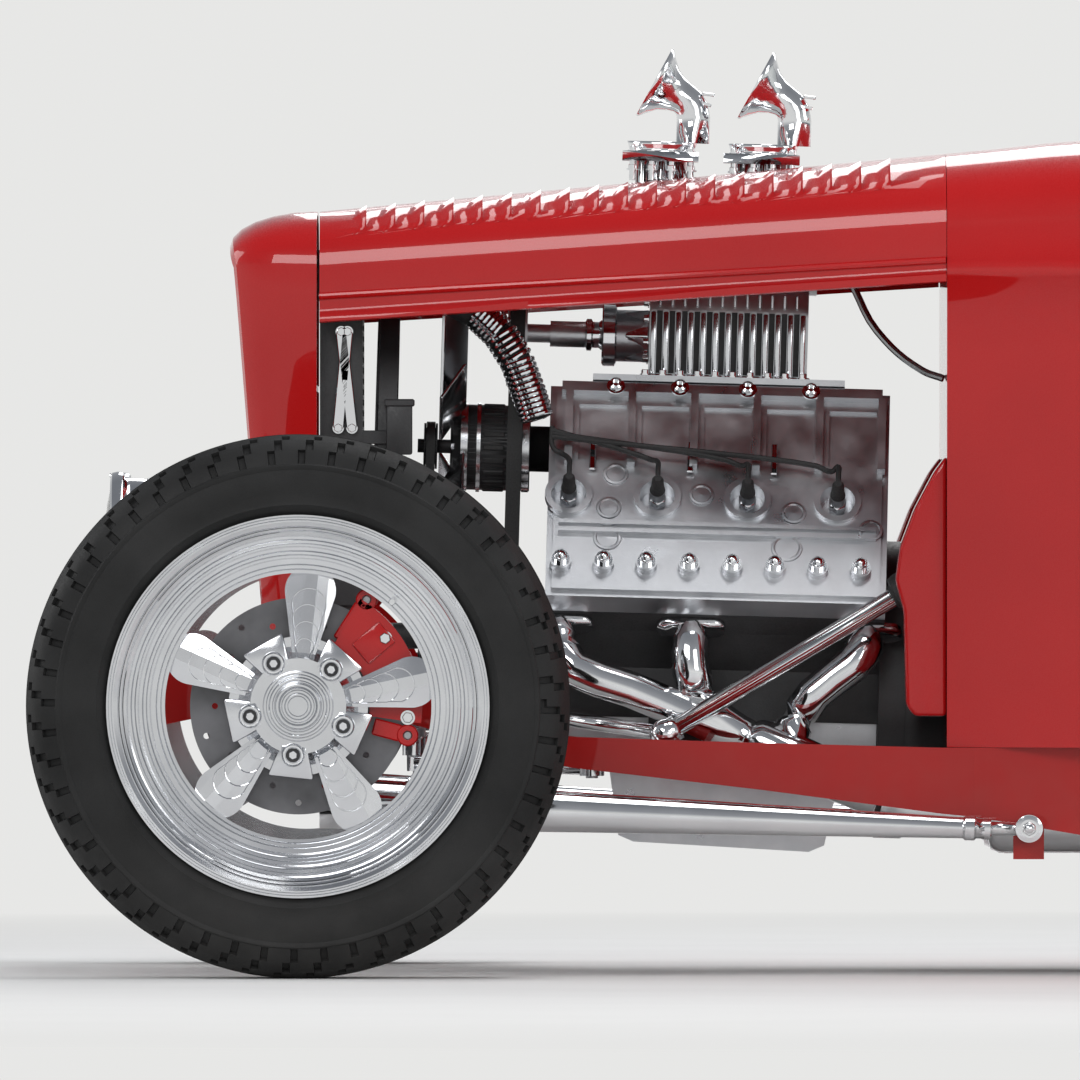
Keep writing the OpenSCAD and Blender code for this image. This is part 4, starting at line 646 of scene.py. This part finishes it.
# Radiator: fan shroud and side straps, with the small regulator box.
shroud, straps = bmesh.new(), bmesh.new()
turn(shroud, engine @ inEngine(100, 0, motor["generator"]) @ Matrix.Rotation(math.pi / 2, 4, "Y"),
     [(182, -14), (182, 12), (186, 14), (188, 12), (185, 10), (185, -14)], 72, True)
for side in (1, -1):
    for top, foot in (((52, 838), (66, 712)), ((60, 838), (48, 712))):
        ends = [at(top[0], side * 193, top[1]), at(foot[0], side * 193, foot[1])]
        mid = (ends[0] + ends[1]) / 2
        span = (ends[1] - ends[0]).length * 500
        slab(straps, turned(mid, ends[1] - ends[0]), (-3, -7, -span), (3, 7, span), 1.0)
        for end in ends:
            hexNut(straps, turned(end, (0, side, 0)), 6, 9, dome=False)
piece("fanShroud", shroud, blackIron, "chassis")
piece("radiatorStraps", straps, chrome, "chassis")
box = bmesh.new()
slab(box, Matrix.Translation(at(128, 190, 712)), (-17, -14, -35), (17, 14, 30), 3.0, 2)
slab(box, Matrix.Translation(at(128, 190, 712)), (-20, -16, 28), (20, 16, 38), 2.0)
slab(box, Matrix.Translation(at(100, 186, 700)), (-34, -3, -9), (34, 3, 9), 1.0)
piece("regulatorBox", box, blackIron, "chassis")

# Bead along the foot of the hood on each side.
beads = bmesh.new()
for side in (1, -1):
    runLine(beads, [at(24, side * 245.5, 884), at(841, side * 390.5, 930)], 5, 12, False)
piece("hoodBeads", beads, redPaint, "chassis")
print("front dressed")

# Round and swept parts again with soft shading, from the CAD meshes merged into whole skins.
smoothSkins = {
    redPaint: ("red_paint", 24, ["hood", "cowl", "rear_body", "grille_shell", "door_left", "door_right",
                                 "boot_lid"]),
    chrome: ("chrome_plate", 38, ["headers", "exhaust", "carburettors", "headlamps", "radius_rods",
                                  "steering_column", "drag_link", "tie_rod", "front_axle",
                                  "rear_suspension"]),
    blackIron: ("black_iron", 30, ["generator", "rear_axle", "transmission", "crank_pulley"]),
    bakelite: ("black_iron", 40, ["steering_wheel"]),
    blackRubber: ("hose_rubber", 40, ["hoses", "belts"]),
    clearGlass: ("clear_glass", 40, ["headlamp_lenses"]),
    redGlass: ("red_glass", 40, ["tail_lamps"]),
}
riders = {name: body for body, names in frame["record"]["behaviour"]["bodies"].items() for name in names}
for look, (slotName, angle, names) in smoothSkins.items():
    for name in names:
        bm = bmesh.new()
        bm.from_mesh(nodes[name].data)
        bmesh.ops.remove_doubles(bm, verts=bm.verts, dist=2e-5)
        skin = piece(name + "Skin", bm, look, riders[name], angle, False)
        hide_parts(name)
print("skins smoothed")

nets = {}


def touch(node, origin, way):
    if node not in nets:
        mesh = nodes[node].data
        nets[node] = BVHTree.FromPolygons([v.co for v in mesh.vertices], [p.vertices for p in mesh.polygons])
    spot, normal = nets[node].ray_cast(Vector(origin), Vector(way).normalized())[:2]
    return (spot, normal) if spot else (Vector(origin), -Vector(way).normalized())


# Wheel detail: fine rings on the rim and cap, and arched ridges on each petal.
rim = {"rings": ((240.5, 103.8), (244, 103.8), (226, 96), (231, 99.6), (210, 77), (215, 77.8), (195.5, 55),
                 (200.5, 55.8), (177, 35), (183, 35.7)),
       "capRings": (13, 17, 21, 25, 29, 33, 37, 41), "arches": ((153, 22), (132, 19), (110, 15.5), (88, 12))}
for end in ("front", "rear"):
    lift = layout[end + "Width"] / 2 - 112.5
    for side, word in ((1, "left"), (-1, "right")):
        place = wheelFrame(end, side)
        node = f"wheel_{end}_{word}"
        inward = place.to_3x3() @ Vector((0, 0, -1))
        rings, ridges = bmesh.new(), bmesh.new()
        for r, z in rim["rings"]:
            turn(rings, place, [(r - 1.0, z + lift), (r, z + lift + 1.9), (r + 1.0, z + lift)], 120, True)
        for r in rim["capRings"]:
            spot = touch(node, place @ Vector((r * 0.001, 0, 0.2)), inward)[0]
            z = (place.inverted() @ spot).z * 1000
            turn(rings, place, [(r - 0.9, z - 0.3), (r, z + 1.3), (r + 0.9, z - 0.3)], 64, True)
        for i in range(5):
            petal = place @ Matrix.Rotation(-math.radians(hub["spokeTurn"] + 72 * i), 4, "Z")
            for top, wide in rim["arches"]:
                course = [(wide - 3, top - wide - 14)]
                course += [(wide * math.cos(math.radians(a)), top - wide + wide * math.sin(math.radians(a)))
                           for a in range(0, 181, 15)]
                course += [(3 - wide, top - wide - 14)]
                line = [touch(node, petal @ (Vector((x, y, 200)) * 0.001), inward)[0] for x, y in course]
                runLine(ridges, [p for p in line if (place.inverted() @ p).z < 0.14], 0.8, 6, False)
        piece(f"rimRings_{end}_{word}", rings, chrome, node, 50)
        piece(f"petalRidges_{end}_{word}", ridges, chrome, node, 50)
print("wheels detailed")

# Calipers: ears with their bolt eyes and pins, and two raised pads.
ears = {"upper": (163, 32.7), "lower": (146, 105.0), "eye": 6.2, "rim": 14.0}
for side, word in ((1, "left"), (-1, "right")):
    place = wheelFrame("front", side)
    bm, pins = bmesh.new(), bmesh.new()
    for reach, angle in (ears["upper"], ears["lower"]):
        spoke = place @ Matrix.Rotation(-math.radians(angle), 4, "Z")
        eyeAt = spoke @ Matrix.Translation((0, reach * 0.001, 0))
        eyeRing = [(ears["eye"], -6), (ears["rim"], -6), (ears["rim"], 7.4), (ears["rim"] - 1.6, 9),
                   (ears["eye"], 9)]
        turn(bm, eyeAt, eyeRing, 32, True)
        slab(bm, spoke, (-11, 100, -5), (11, reach - 9, 7), 2.0)
        turn(pins, eyeAt, [(6.1, -4), (6.1, 3), (4.5, 3.6), (4.5, 1), (0.01, 1)], 20)
    for low, high in ((40, 60), (64, 84)):
        wedge = place @ Matrix.Rotation(-math.radians((low + high) / 2), 4, "Z")
        slab(bm, wedge, (-17, 104, 6), (17, 150, 12.5), 2.4, 2)
    piece(f"caliperEars_{word}", bm, redPaint, f"knuckle_{word}")
    piece(f"caliperPins_{word}", pins, bareSteel, f"knuckle_{word}")

# Blower: ribs with feet, dark strips of painted shade between them, a row of ticks above them, and the snout.
ribs = {"count": 13, "first": 643, "pitch": 196 / 12, "face": 97.0}
bm, ribShade = bmesh.new(), bmesh.new()
for side in (1, -1):
    for k in range(ribs["count"]):
        spot = engine @ inEngine(ribs["first"] - ribs["pitch"] * k, 0, motor["blower"])
        low, high = sorted((side * (ribs["face"] - 3), side * (ribs["face"] + 3.2)))
        slab(bm, spot, (-3.4, low, -50), (3.4, high, 33), 2.2, 2)
        low, high = sorted((side * (ribs["face"] - 2), side * (ribs["face"] + 12)))
        slab(bm, spot, (-11, low, -57), (3.4, high, -49), 2.6, 2)
        if k < ribs["count"] - 1:
            # a dark strip on the block between two ribs: painted shade where the gap between ribs lies in
            # shadow
            low, high = sorted((side * 87, side * 88.7))
            slab(ribShade, spot, (4.4, low, -48), (ribs["pitch"] - 4.4, high, 34), 0.4)
            low, high = sorted((side * 82, side * 92))
            tick = spot @ Matrix.Translation((ribs["pitch"] * 0.0005, 0, 0))
            slab(bm, tick, (-1.6, low, 40), (1.6, high, 58), 1.0)
piece("blowerRibs", bm, polished, "chassis")
piece("blowerRibShade", ribShade, blackIron, "chassis")
snout = bmesh.new()
nose = engine @ inEngine(398, 0, motor["blower"]) @ Matrix.Rotation(math.pi / 2, 4, "Y")
nozzle = [(38, -1), (40.5, 1), (40.5, 16), (38, 18), (20, 18.6), (17.2, 22), (17.2, 30), (21, 32), (21, 38),
          (17.2, 40)]
turn(snout, nose, nozzle, 56)
collarAt = engine @ inEngine(442, 0, motor["blower"]) @ Matrix.Rotation(math.pi / 2, 4, "Y")
post(snout, collarAt, 40, 32, 36, 6, 2.0)
piece("blowerSnout", snout, chrome, "chassis")

# Radius rods: jam nuts and bolts at the eyes.
bm = bmesh.new()
for side in (1, -1):
    post(bm, turned(at(886, side * 425, 190), (-1, 0, 0)), 14.5, 13, sides=6, bevel=1.2)
    turn(bm, turned(at(862, side * 425.2, 191), (-1, 0, -0.04)), [(13.4, 0), (16, 3), (16, 15), (13, 18)], 32)
    eyeAt = turned(at(948, side * 438, 190), (0, side, 0))
    turn(bm, eyeAt, [(17.5, 0), (17.5, 2), (12, 3.4), (6.4, 3.4)], 32)
    hexNut(bm, turned(at(948, side * 440, 190), (0, side, 0)), 9.5, 12)
piece("rodNuts", bm, chrome, "chassis")

# Toe boxes: the firewall steps forward on each side, and the steering shaft runs into the left one.
toe = {"outline": ((842, 676), (826, 655), (800, 606), (781, 556), (775, 512), (786, 474), (789, 350),
                   (800, 336), (842, 336)),
       "inner": 226, "outer": 366}
bm, collar = bmesh.new(), bmesh.new()
for side in (1, -1):
    part = sideBlock(toe["outline"], toe["inner"], toe["outer"], side)
    bevelAll(part, 6.0, 3)
    addTo(bm, part, Matrix())
slope = (math.cos(math.radians(30.9)), 0, -math.sin(math.radians(30.9)))
gaiter = [(12.4, 8), (15, 8), (17, 4), (24, 2), (26, -6), (26, -12)]
turn(collar, turned(at(779, 282, 494), slope), gaiter, 32)
piece("toeBoxes", bm, redPaint, "chassis")
piece("shaftCollar", collar, blackRubber, "chassis")
print("front detail made")

# Headlamps: rims with their screws, two rings round the bowl, and bulbs.
headlamp = {"rim": ((80.3, -27), (83, -25), (84, -18), (82.5, -11), (78, -8.6), (74.6, -9.4), (74.6, -12.6)),
            "screw": ((3.2, 0), (3, 1.2), (2, 2.2), (0.01, 2.6)), "rings": ((73.6, -58), (68.6, -84)),
            "bulb": ((0.01, -114), (9, -114), (9, -92), (12, -88), (15, -76), (13, -64), (7, -56),
                     (0.01, -54))}
bm, bulbs = bmesh.new(), bmesh.new()
for side in (1, -1):
    lamp = turned(at(-257, side * 300, 571), (1, 0, 0))
    turn(bm, lamp, headlamp["rim"], 72)
    for k in range(3):
        spoke = lamp @ Matrix.Rotation(math.radians(90 + 120 * k), 4, "Z")
        turn(bm, spoke @ Matrix.Translation((0.0785, 0, -0.0092)), headlamp["screw"], 12)
    for r, z in headlamp["rings"]:
        hoop(bm, lamp @ Matrix.Translation((0, 0, z * 0.001)), r, 2.0, 64, 8)
    turn(bulbs, lamp, headlamp["bulb"], 24)
piece("headlampRims", bm, chrome, "chassis")
piece("headlampBulbs", bulbs, enamel, "chassis")

# Instruments: bezel, cream face, ticks and needle.
gauges = {"rows": ((-220, 1000, 35.7, 40), (-120, 1000, 35.7, -20), (0, 1000, 35.7, 65),
                   (120, 1000, 35.7, 10), (282, 1010, 39.7, -50)), "ticks": 13}
bezels, faces, marks, needles = bmesh.new(), bmesh.new(), bmesh.new(), bmesh.new()
for y, z, r, swing in gauges["rows"]:
    dial = turned(at(1110, y, z), (-1, 0, 0))
    turn(bezels, dial, [(r + 1.4, -1), (r + 1.4, 3), (r - 0.5, 5.6), (r - 3.6, 4.4), (r - 4.6, 0.6)], 56)
    turn(faces, dial, [(r - 4, 0.3), (r - 8, 0.7), (0.01, 0.9)], 56)
    for k in range(gauges["ticks"]):
        tick = dial @ Matrix.Rotation(math.radians(-130 + 260 * k / (gauges["ticks"] - 1)), 4, "Z")
        half, foot = (0.7, r - 13) if k % 3 else (1.2, r - 16)
        slab(marks, tick, (-half, foot, 0.6), (half, r - 8, 1.3))
    needle = dial @ Matrix.Rotation(math.radians(swing), 4, "Z")
    slab(needles, needle, (-1.0, -6, 1.8), (1.0, r - 11, 2.6), 0.3)
    turn(marks, dial, [(4, 1), (4, 3.2), (2.6, 4.2), (0.01, 4.4)], 20)
piece("gaugeBezels", bezels, chrome, "chassis")
piece("gaugeFaces", faces, enamel, "chassis")
piece("gaugeMarks", marks, bakelite, "chassis")
piece("gaugeNeedles", needles, redPaint, "chassis")

# Controls: three pedals, gear lever with its boot, and horn button.
shift = {"knob": ((0.01, 0), (12, 0), (15, 6), (22, 22), (23, 32), (18, 44), (8, 50), (0.01, 51)),
         "boot": ((56, 0), (54, 8), (46, 12), (48, 18), (38, 24), (40, 30), (28, 38), (18, 60), (9, 64)),
         "ring": ((64, 0), (64, 5), (58, 9), (52, 9))}
arms, pads = bmesh.new(), bmesh.new()
for y, z, half, tall in ((185, 462, 20, 62), (252, 470, 32, 34), (366, 470, 32, 34)):
    runLine(arms, [at(856, y, 640), at(884, y, 600), at(946, y, z + 40), at(972, y, z)], 8, 12)
    pad = turned(at(975, y, z), (-0.82, 0, 0.57))
    slab(arms, pad, (-half, -tall, 0), (half, tall, 5), 2.0)
    for k in range(6):
        across = -tall + 8 + (2 * tall - 16) * k / 5
        slab(pads, pad, (-half + 4, across - 3.2, 4), (half - 4, across + 3.2, 9), 1.4)
lever, knob = bmesh.new(), bmesh.new()
runLine(lever, [at(1250, 0, 488), at(1262, 0, 560), at(1296, 0, 660), at(1330, 0, 742)], 8, 14)
turn(knob, turned(at(1329, 0, 738), (-0.38, 0, 0.92)), shift["knob"], 32)
turn(pads, Matrix.Translation(at(1250, 0, 486)), shift["boot"], 40)
turn(lever, Matrix.Translation(at(1250, 0, 486)), shift["ring"], 40)
piece("pedalArms", arms, bareSteel, "chassis")
piece("pedalPads", pads, blackRubber, "chassis")
piece("gearLever", lever, chrome, "chassis")
piece("gearKnob", knob, bakelite, "chassis")
column = (-0.858, 0, 0.5135)
boss = at(1470, 282, 312 + 995 * math.tan(math.radians(30.9)))
horn = bmesh.new()
button = [(36, -1), (36, 3), (31, 6), (29, 5), (22, 8.5), (10, 10), (0.01, 10.4)]
turn(horn, turned(boss + Vector(column) * 0.026, column), button, 48)
for k in range(3):
    spoke = turned(boss, column) @ Matrix.Rotation(math.radians(90 + 120 * k), 4, "Z")
    for r in (60, 90, 120):
        stud = spoke @ Matrix.Translation((r * 0.001, 0, 0.0198))
        turn(horn, stud, [(6.5, 0), (6, 1.4), (4.5, 1.8), (0.01, 1.8)], 20)
piece("hornButton", horn, chrome, "steering_wheel")
print("controls made")

# Doors: leather cards inside, handles inside and out. A handle's points are in metres from its foot.
handles = {"outer": ((0, 0.028, 0), (-0.05, 0.031, -0.003), (-0.105, 0.027, -0.008)),
           "inner": ((0, 0.022, 0), (0.04, 0.025, -0.004), (0.085, 0.022, -0.016))}
for side, word in ((1, "left"), (-1, "right")):
    node = f"door_{word}"
    card = bmesh.new()
    card.from_mesh(nodes[node].data)
    bmesh.ops.remove_doubles(card, verts=card.verts, dist=2e-5)
    away = []
    for f in card.faces:
        spot = f.calc_center_median()
        onStrap = spot.x > at(1172, 0, 0).x and abs(spot.y) > 0.487
        if f.normal.y * side > -0.6 or spot.z > 0.90 or onStrap:
            away.append(f)
    bmesh.ops.delete(card, geom=away, context="FACES")
    ring = bmesh.ops.inset_region(card, faces=card.faces[:], thickness=0.028, depth=0.0,
                                  use_even_offset=True, use_boundary=True)
    bmesh.ops.delete(card, geom=ring["faces"], context="FACES")
    bmesh.ops.solidify(card, geom=card.faces[:], thickness=-0.006)
    bmesh.ops.translate(card, verts=card.verts, vec=(0, -side * 0.0004, 0))
    piece(f"doorCard_{word}", card, leather, node, 30)
    pulls = bmesh.new()
    spot = touch(node, at(1690, side * 1100, 850), (0, -side, 0))[0]
    plate = turned(spot, (0, side, 0))
    turn(pulls, plate, [(19, -0.6), (19, 2), (15, 4.6), (10, 6), (8.5, 12), (8.5, 34), (0.01, 36)], 36)
    runLine(pulls, [spot + Vector((x, side * y, z)) for x, y, z in handles["outer"]], 7.5, 14)
    inner = touch(node, at(1640, side * 300, 800), (0, side, 0))[0]
    knobAt = turned(inner, (0, -side, 0))
    turn(pulls, knobAt, [(17, 5), (17, 8), (12, 10), (7, 12), (7, 24), (0.01, 26)], 32)
    runLine(pulls, [inner + Vector((x, -side * y, z)) for x, y, z in handles["inner"]], 6, 12)
    piece(f"doorHandles_{word}", pulls, chrome, node)
print("doors dressed")

# Tail: lamp bezels, blank plate, filler cap, lid handle and pipe ends.
tail = {"pipe": ((26.4, -46), (29.5, -44), (29.5, 8), (31, 11), (30, 14), (27, 13), (25, 1), (26.4, -4)),
        "plateU": 3288.6, "plateZ": 500,
        "grip": ((-0.052, 0.021), (-0.03, 0.024), (0.03, 0.024), (0.052, 0.021))}
bm, dark, plates = bmesh.new(), bmesh.new(), bmesh.new()
for side in (1, -1):
    lamp = turned(at(3286, side * 300, 500), (-1, 0, 0))
    turn(bm, lamp, [(36.3, 0.4), (43, 0.4), (43, 3), (41, 7), (38.4, 8.6), (36.3, 7.6)], 56, True)
    pipeEnd = turned(at(2362, side * 345, 215), (-1, 0, 0))
    turn(bm, pipeEnd, tail["pipe"], 48)
    # a dark disc closes each pipe just inside its end: partly the soot inside the pipe, partly painted shade
    # for its hollow
    turn(dark, pipeEnd, [(25.6, 0.6), (24, 1.2), (0.01, 1.4)], 40)
plateAt = Matrix.Translation(at(tail["plateU"], 0, tail["plateZ"]))
slab(plates, plateAt, (-1.6, -152, -42), (2.0, 152, 42), 1.2)
for y in (-154, 154):
    slab(bm, Matrix.Translation(at(tail["plateU"], y, tail["plateZ"])), (-4, -4, -48), (2.2, 4, 48), 1.5)
for z in (-46, 46):
    edge = Matrix.Translation(at(tail["plateU"], 0, tail["plateZ"] + z))
    slab(bm, edge, (-4, -158, -4), (2.2, 158, 4), 1.5)
for y in (-130, 130):
    hexNut(bm, turned(at(3290, y, 526), (-1, 0, 0)), 5, 5)
spot, normal = touch("rear_body", at(3120, -210, 1300), (0, 0, -1))
cap = turned(spot, normal)
turn(bm, cap, [(41, -1), (41, 3), (36, 6), (34, 6), (34, 15), (31, 18.5), (12, 20), (0.01, 20)], 56)
for k in range(12):
    slab(bm, cap @ Matrix.Rotation(math.radians(30 * k), 4, "Z"), (32, -3, 5), (36.4, 3, 15), 1.2)
piece("tailTrim", bm, chrome, "chassis")
piece("blankPlate", plates, enamel, "chassis")
piece("pipeMouthShade", dark, blackIron, "chassis")
handle = bmesh.new()
spot, normal = touch("boot_lid", at(2955, 0, 1300), (0, 0, -1))
grip = turned(spot, normal)
turn(handle, grip, [(23, -0.8), (23, 2), (17, 5), (9, 7), (8, 24), (0.01, 26)], 36)
runLine(handle, [grip @ Vector((0, y, z)) for y, z in tail["grip"]], 7, 14)
piece("lidHandle", handle, chrome, "boot_lid")
print("tail dressed")

# Bench seat: two cushions and two backs, swelled by cloth between their sewn pleats, on a carpeted base.
bench = {"voxel": 0.009, "pleat": 0.081, "pressure": 45.0, "cap": 0.022, "frames": 20,
         "cushion": ((1498, 452), (1496, 474), (1512, 488), (1926, 462), (1936, 452), (1936, 449),
                     (1500, 449)),
         "back": ((1950, 468), (1928, 512), (1999, 906), (2017, 925), (2058, 925), (2074, 892), (2074, 468)),
         "half": {"cushion": (6, 488), "back": (6, 526)},
         "roll": {"u": 1941, "z": 463, "ends": (10, 484), "radius": 12}}


def cloth(obj, rest, frames):
    swell = obj.modifiers.new("cloth", "CLOTH")
    swell.settings.quality = 5
    swell.settings.use_pressure = True
    swell.settings.uniform_pressure_force = bench["pressure"]
    swell.settings.tension_stiffness = 4.0
    swell.settings.compression_stiffness = 4.0
    swell.settings.bending_stiffness = 0.2
    swell.settings.effector_weights.gravity = 0.0
    swell.settings.vertex_group_mass = "sewn"
    swell.point_cache.frame_start = 1
    swell.point_cache.frame_end = frames
    for step in range(1, frames + 1):
        scene.frame_set(step)
    shape = bpy.data.meshes.new_from_object(obj.evaluated_get(bpy.context.evaluated_depsgraph_get()))
    for v, start in zip(shape.vertices, rest):
        move = v.co - start
        if move.length > bench["cap"]:
            v.co = start + move * (bench["cap"] / move.length)
    obj.modifiers.remove(swell)
    scene.frame_set(1)
    return shape


pads = []
for form in ("cushion", "back"):
    inner, outer = bench["half"][form]
    for side, word in ((1, "left"), (-1, "right")):
        part = sideBlock(bench[form], inner, outer, side)
        mesh = bpy.data.meshes.new(f"{form}Pad_{word}")
        part.to_mesh(mesh)
        part.free()
        pad = bpy.data.objects.new(f"{form}Pad_{word}", mesh)
        scene.collection.objects.link(pad)
        remesh = pad.modifiers.new("remesh", "REMESH")
        remesh.mode = "VOXEL"
        remesh.voxel_size = bench["voxel"]
        pad.data = bpy.data.meshes.new_from_object(pad.evaluated_get(bpy.context.evaluated_depsgraph_get()))
        pad.modifiers.clear()
        # pleats run fore and aft on the cushion and upright on the back; the hidden faces are sewn down
        sewn = pad.vertex_groups.new(name="sewn")
        middle = (inner + outer) / 2000 * side
        held = []
        for v in pad.data.vertices:
            across = (v.co.y - middle) / bench["pleat"]
            onSeam = abs(across - round(across)) * bench["pleat"] < 0.0046
            under = v.co.z < 0.4505 if form == "cushion" else v.co.x < at(2070, 0, 0).x
            border = abs(v.co.y - middle) > (outer - inner) / 2000 - 0.003
            if onSeam and not border or under:
                held.append(v.index)
        sewn.add(held, 1.0, "REPLACE")
        rest = [v.co.copy() for v in pad.data.vertices]
        pad.data = cloth(pad, rest, bench["frames"])
        pad.vertex_groups.clear()
        pad.data.name = pad.name
        pad.data.materials.clear()
        pad.data.materials.append(leather)
        pad.data.shade_smooth()
        soft = pad.modifiers.new("soft", "SUBSURF")
        soft.levels = soft.render_levels = 1
        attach(pad, "chassis")
        pads.append(pad)
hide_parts("seat")

base = bmesh.new()
for side in (1, -1):
    low, high = sorted((side * 96, side * 490))
    slab(base, Matrix.Translation(at(1720, 0, 308)), (-222, low, 0.5), (216, high, 138), 8, 2)
    slab(base, Matrix.Translation(at(2016, 0, 308)), (-70, low, 0.5), (66, high, 156), 8, 2)
piece("seatBase", base, carpet, "chassis")
# A leather roll fills the gap between cushions and backs.
piping = bmesh.new()
roll = bench["roll"]
for side in (1, -1):
    runLine(piping, [at(roll["u"], side * y, roll["z"]) for y in roll["ends"]], roll["radius"], 14, False)
piece("seatPiping", piping, leather, "chassis")
print("seat made")

# Floor: pale near the car, fading into the backdrop.
floorMesh = bpy.data.meshes.new("studioFloor")
disc = bmesh.new()
bmesh.ops.create_circle(disc, cap_ends=True, segments=96, radius=60.0)
disc.to_mesh(floorMesh)
disc.free()
studioFloor = bpy.data.objects.new("studioFloor", floorMesh)
scene.collection.objects.link(studioFloor)
floorLook, tree, bsdf = newLook("paleFloor")
where = tree.nodes.new("ShaderNodeTexCoord").outputs["Object"]
bsdf.inputs["Roughness"].default_value = 0.6
pale = rampOf(tree, noiseOf(tree, where, 3.0), [(0.3, (0.74, 0.74, 0.73)), (0.7, (0.77, 0.77, 0.76))])
tree.links.new(pale, bsdf.inputs["Base Color"])
far = tree.nodes.new("ShaderNodeVectorMath")
far.operation = "LENGTH"
tree.links.new(where, far.inputs[0])
fade = tree.nodes.new("ShaderNodeMapRange")
fade.inputs["From Min"].default_value = 2.2
fade.inputs["From Max"].default_value = 6.5
tree.links.new(far.outputs["Value"], fade.inputs["Value"])
glow = tree.nodes.new("ShaderNodeEmission")
glow.inputs["Color"].default_value = (*backdrop, 1)
blendIn = tree.nodes.new("ShaderNodeMixShader")
tree.links.new(fade.outputs["Result"], blendIn.inputs["Fac"])
tree.links.new(bsdf.outputs["BSDF"], blendIn.inputs[1])
tree.links.new(glow.outputs["Emission"], blendIn.inputs[2])
tree.links.new(blendIn.outputs["Shader"], tree.nodes["Material Output"].inputs["Surface"])
floorMesh.materials.append(floorLook)
studioFloor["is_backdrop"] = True

low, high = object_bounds()
print("size", [round(b - a, 4) for a, b in zip(low, high)])
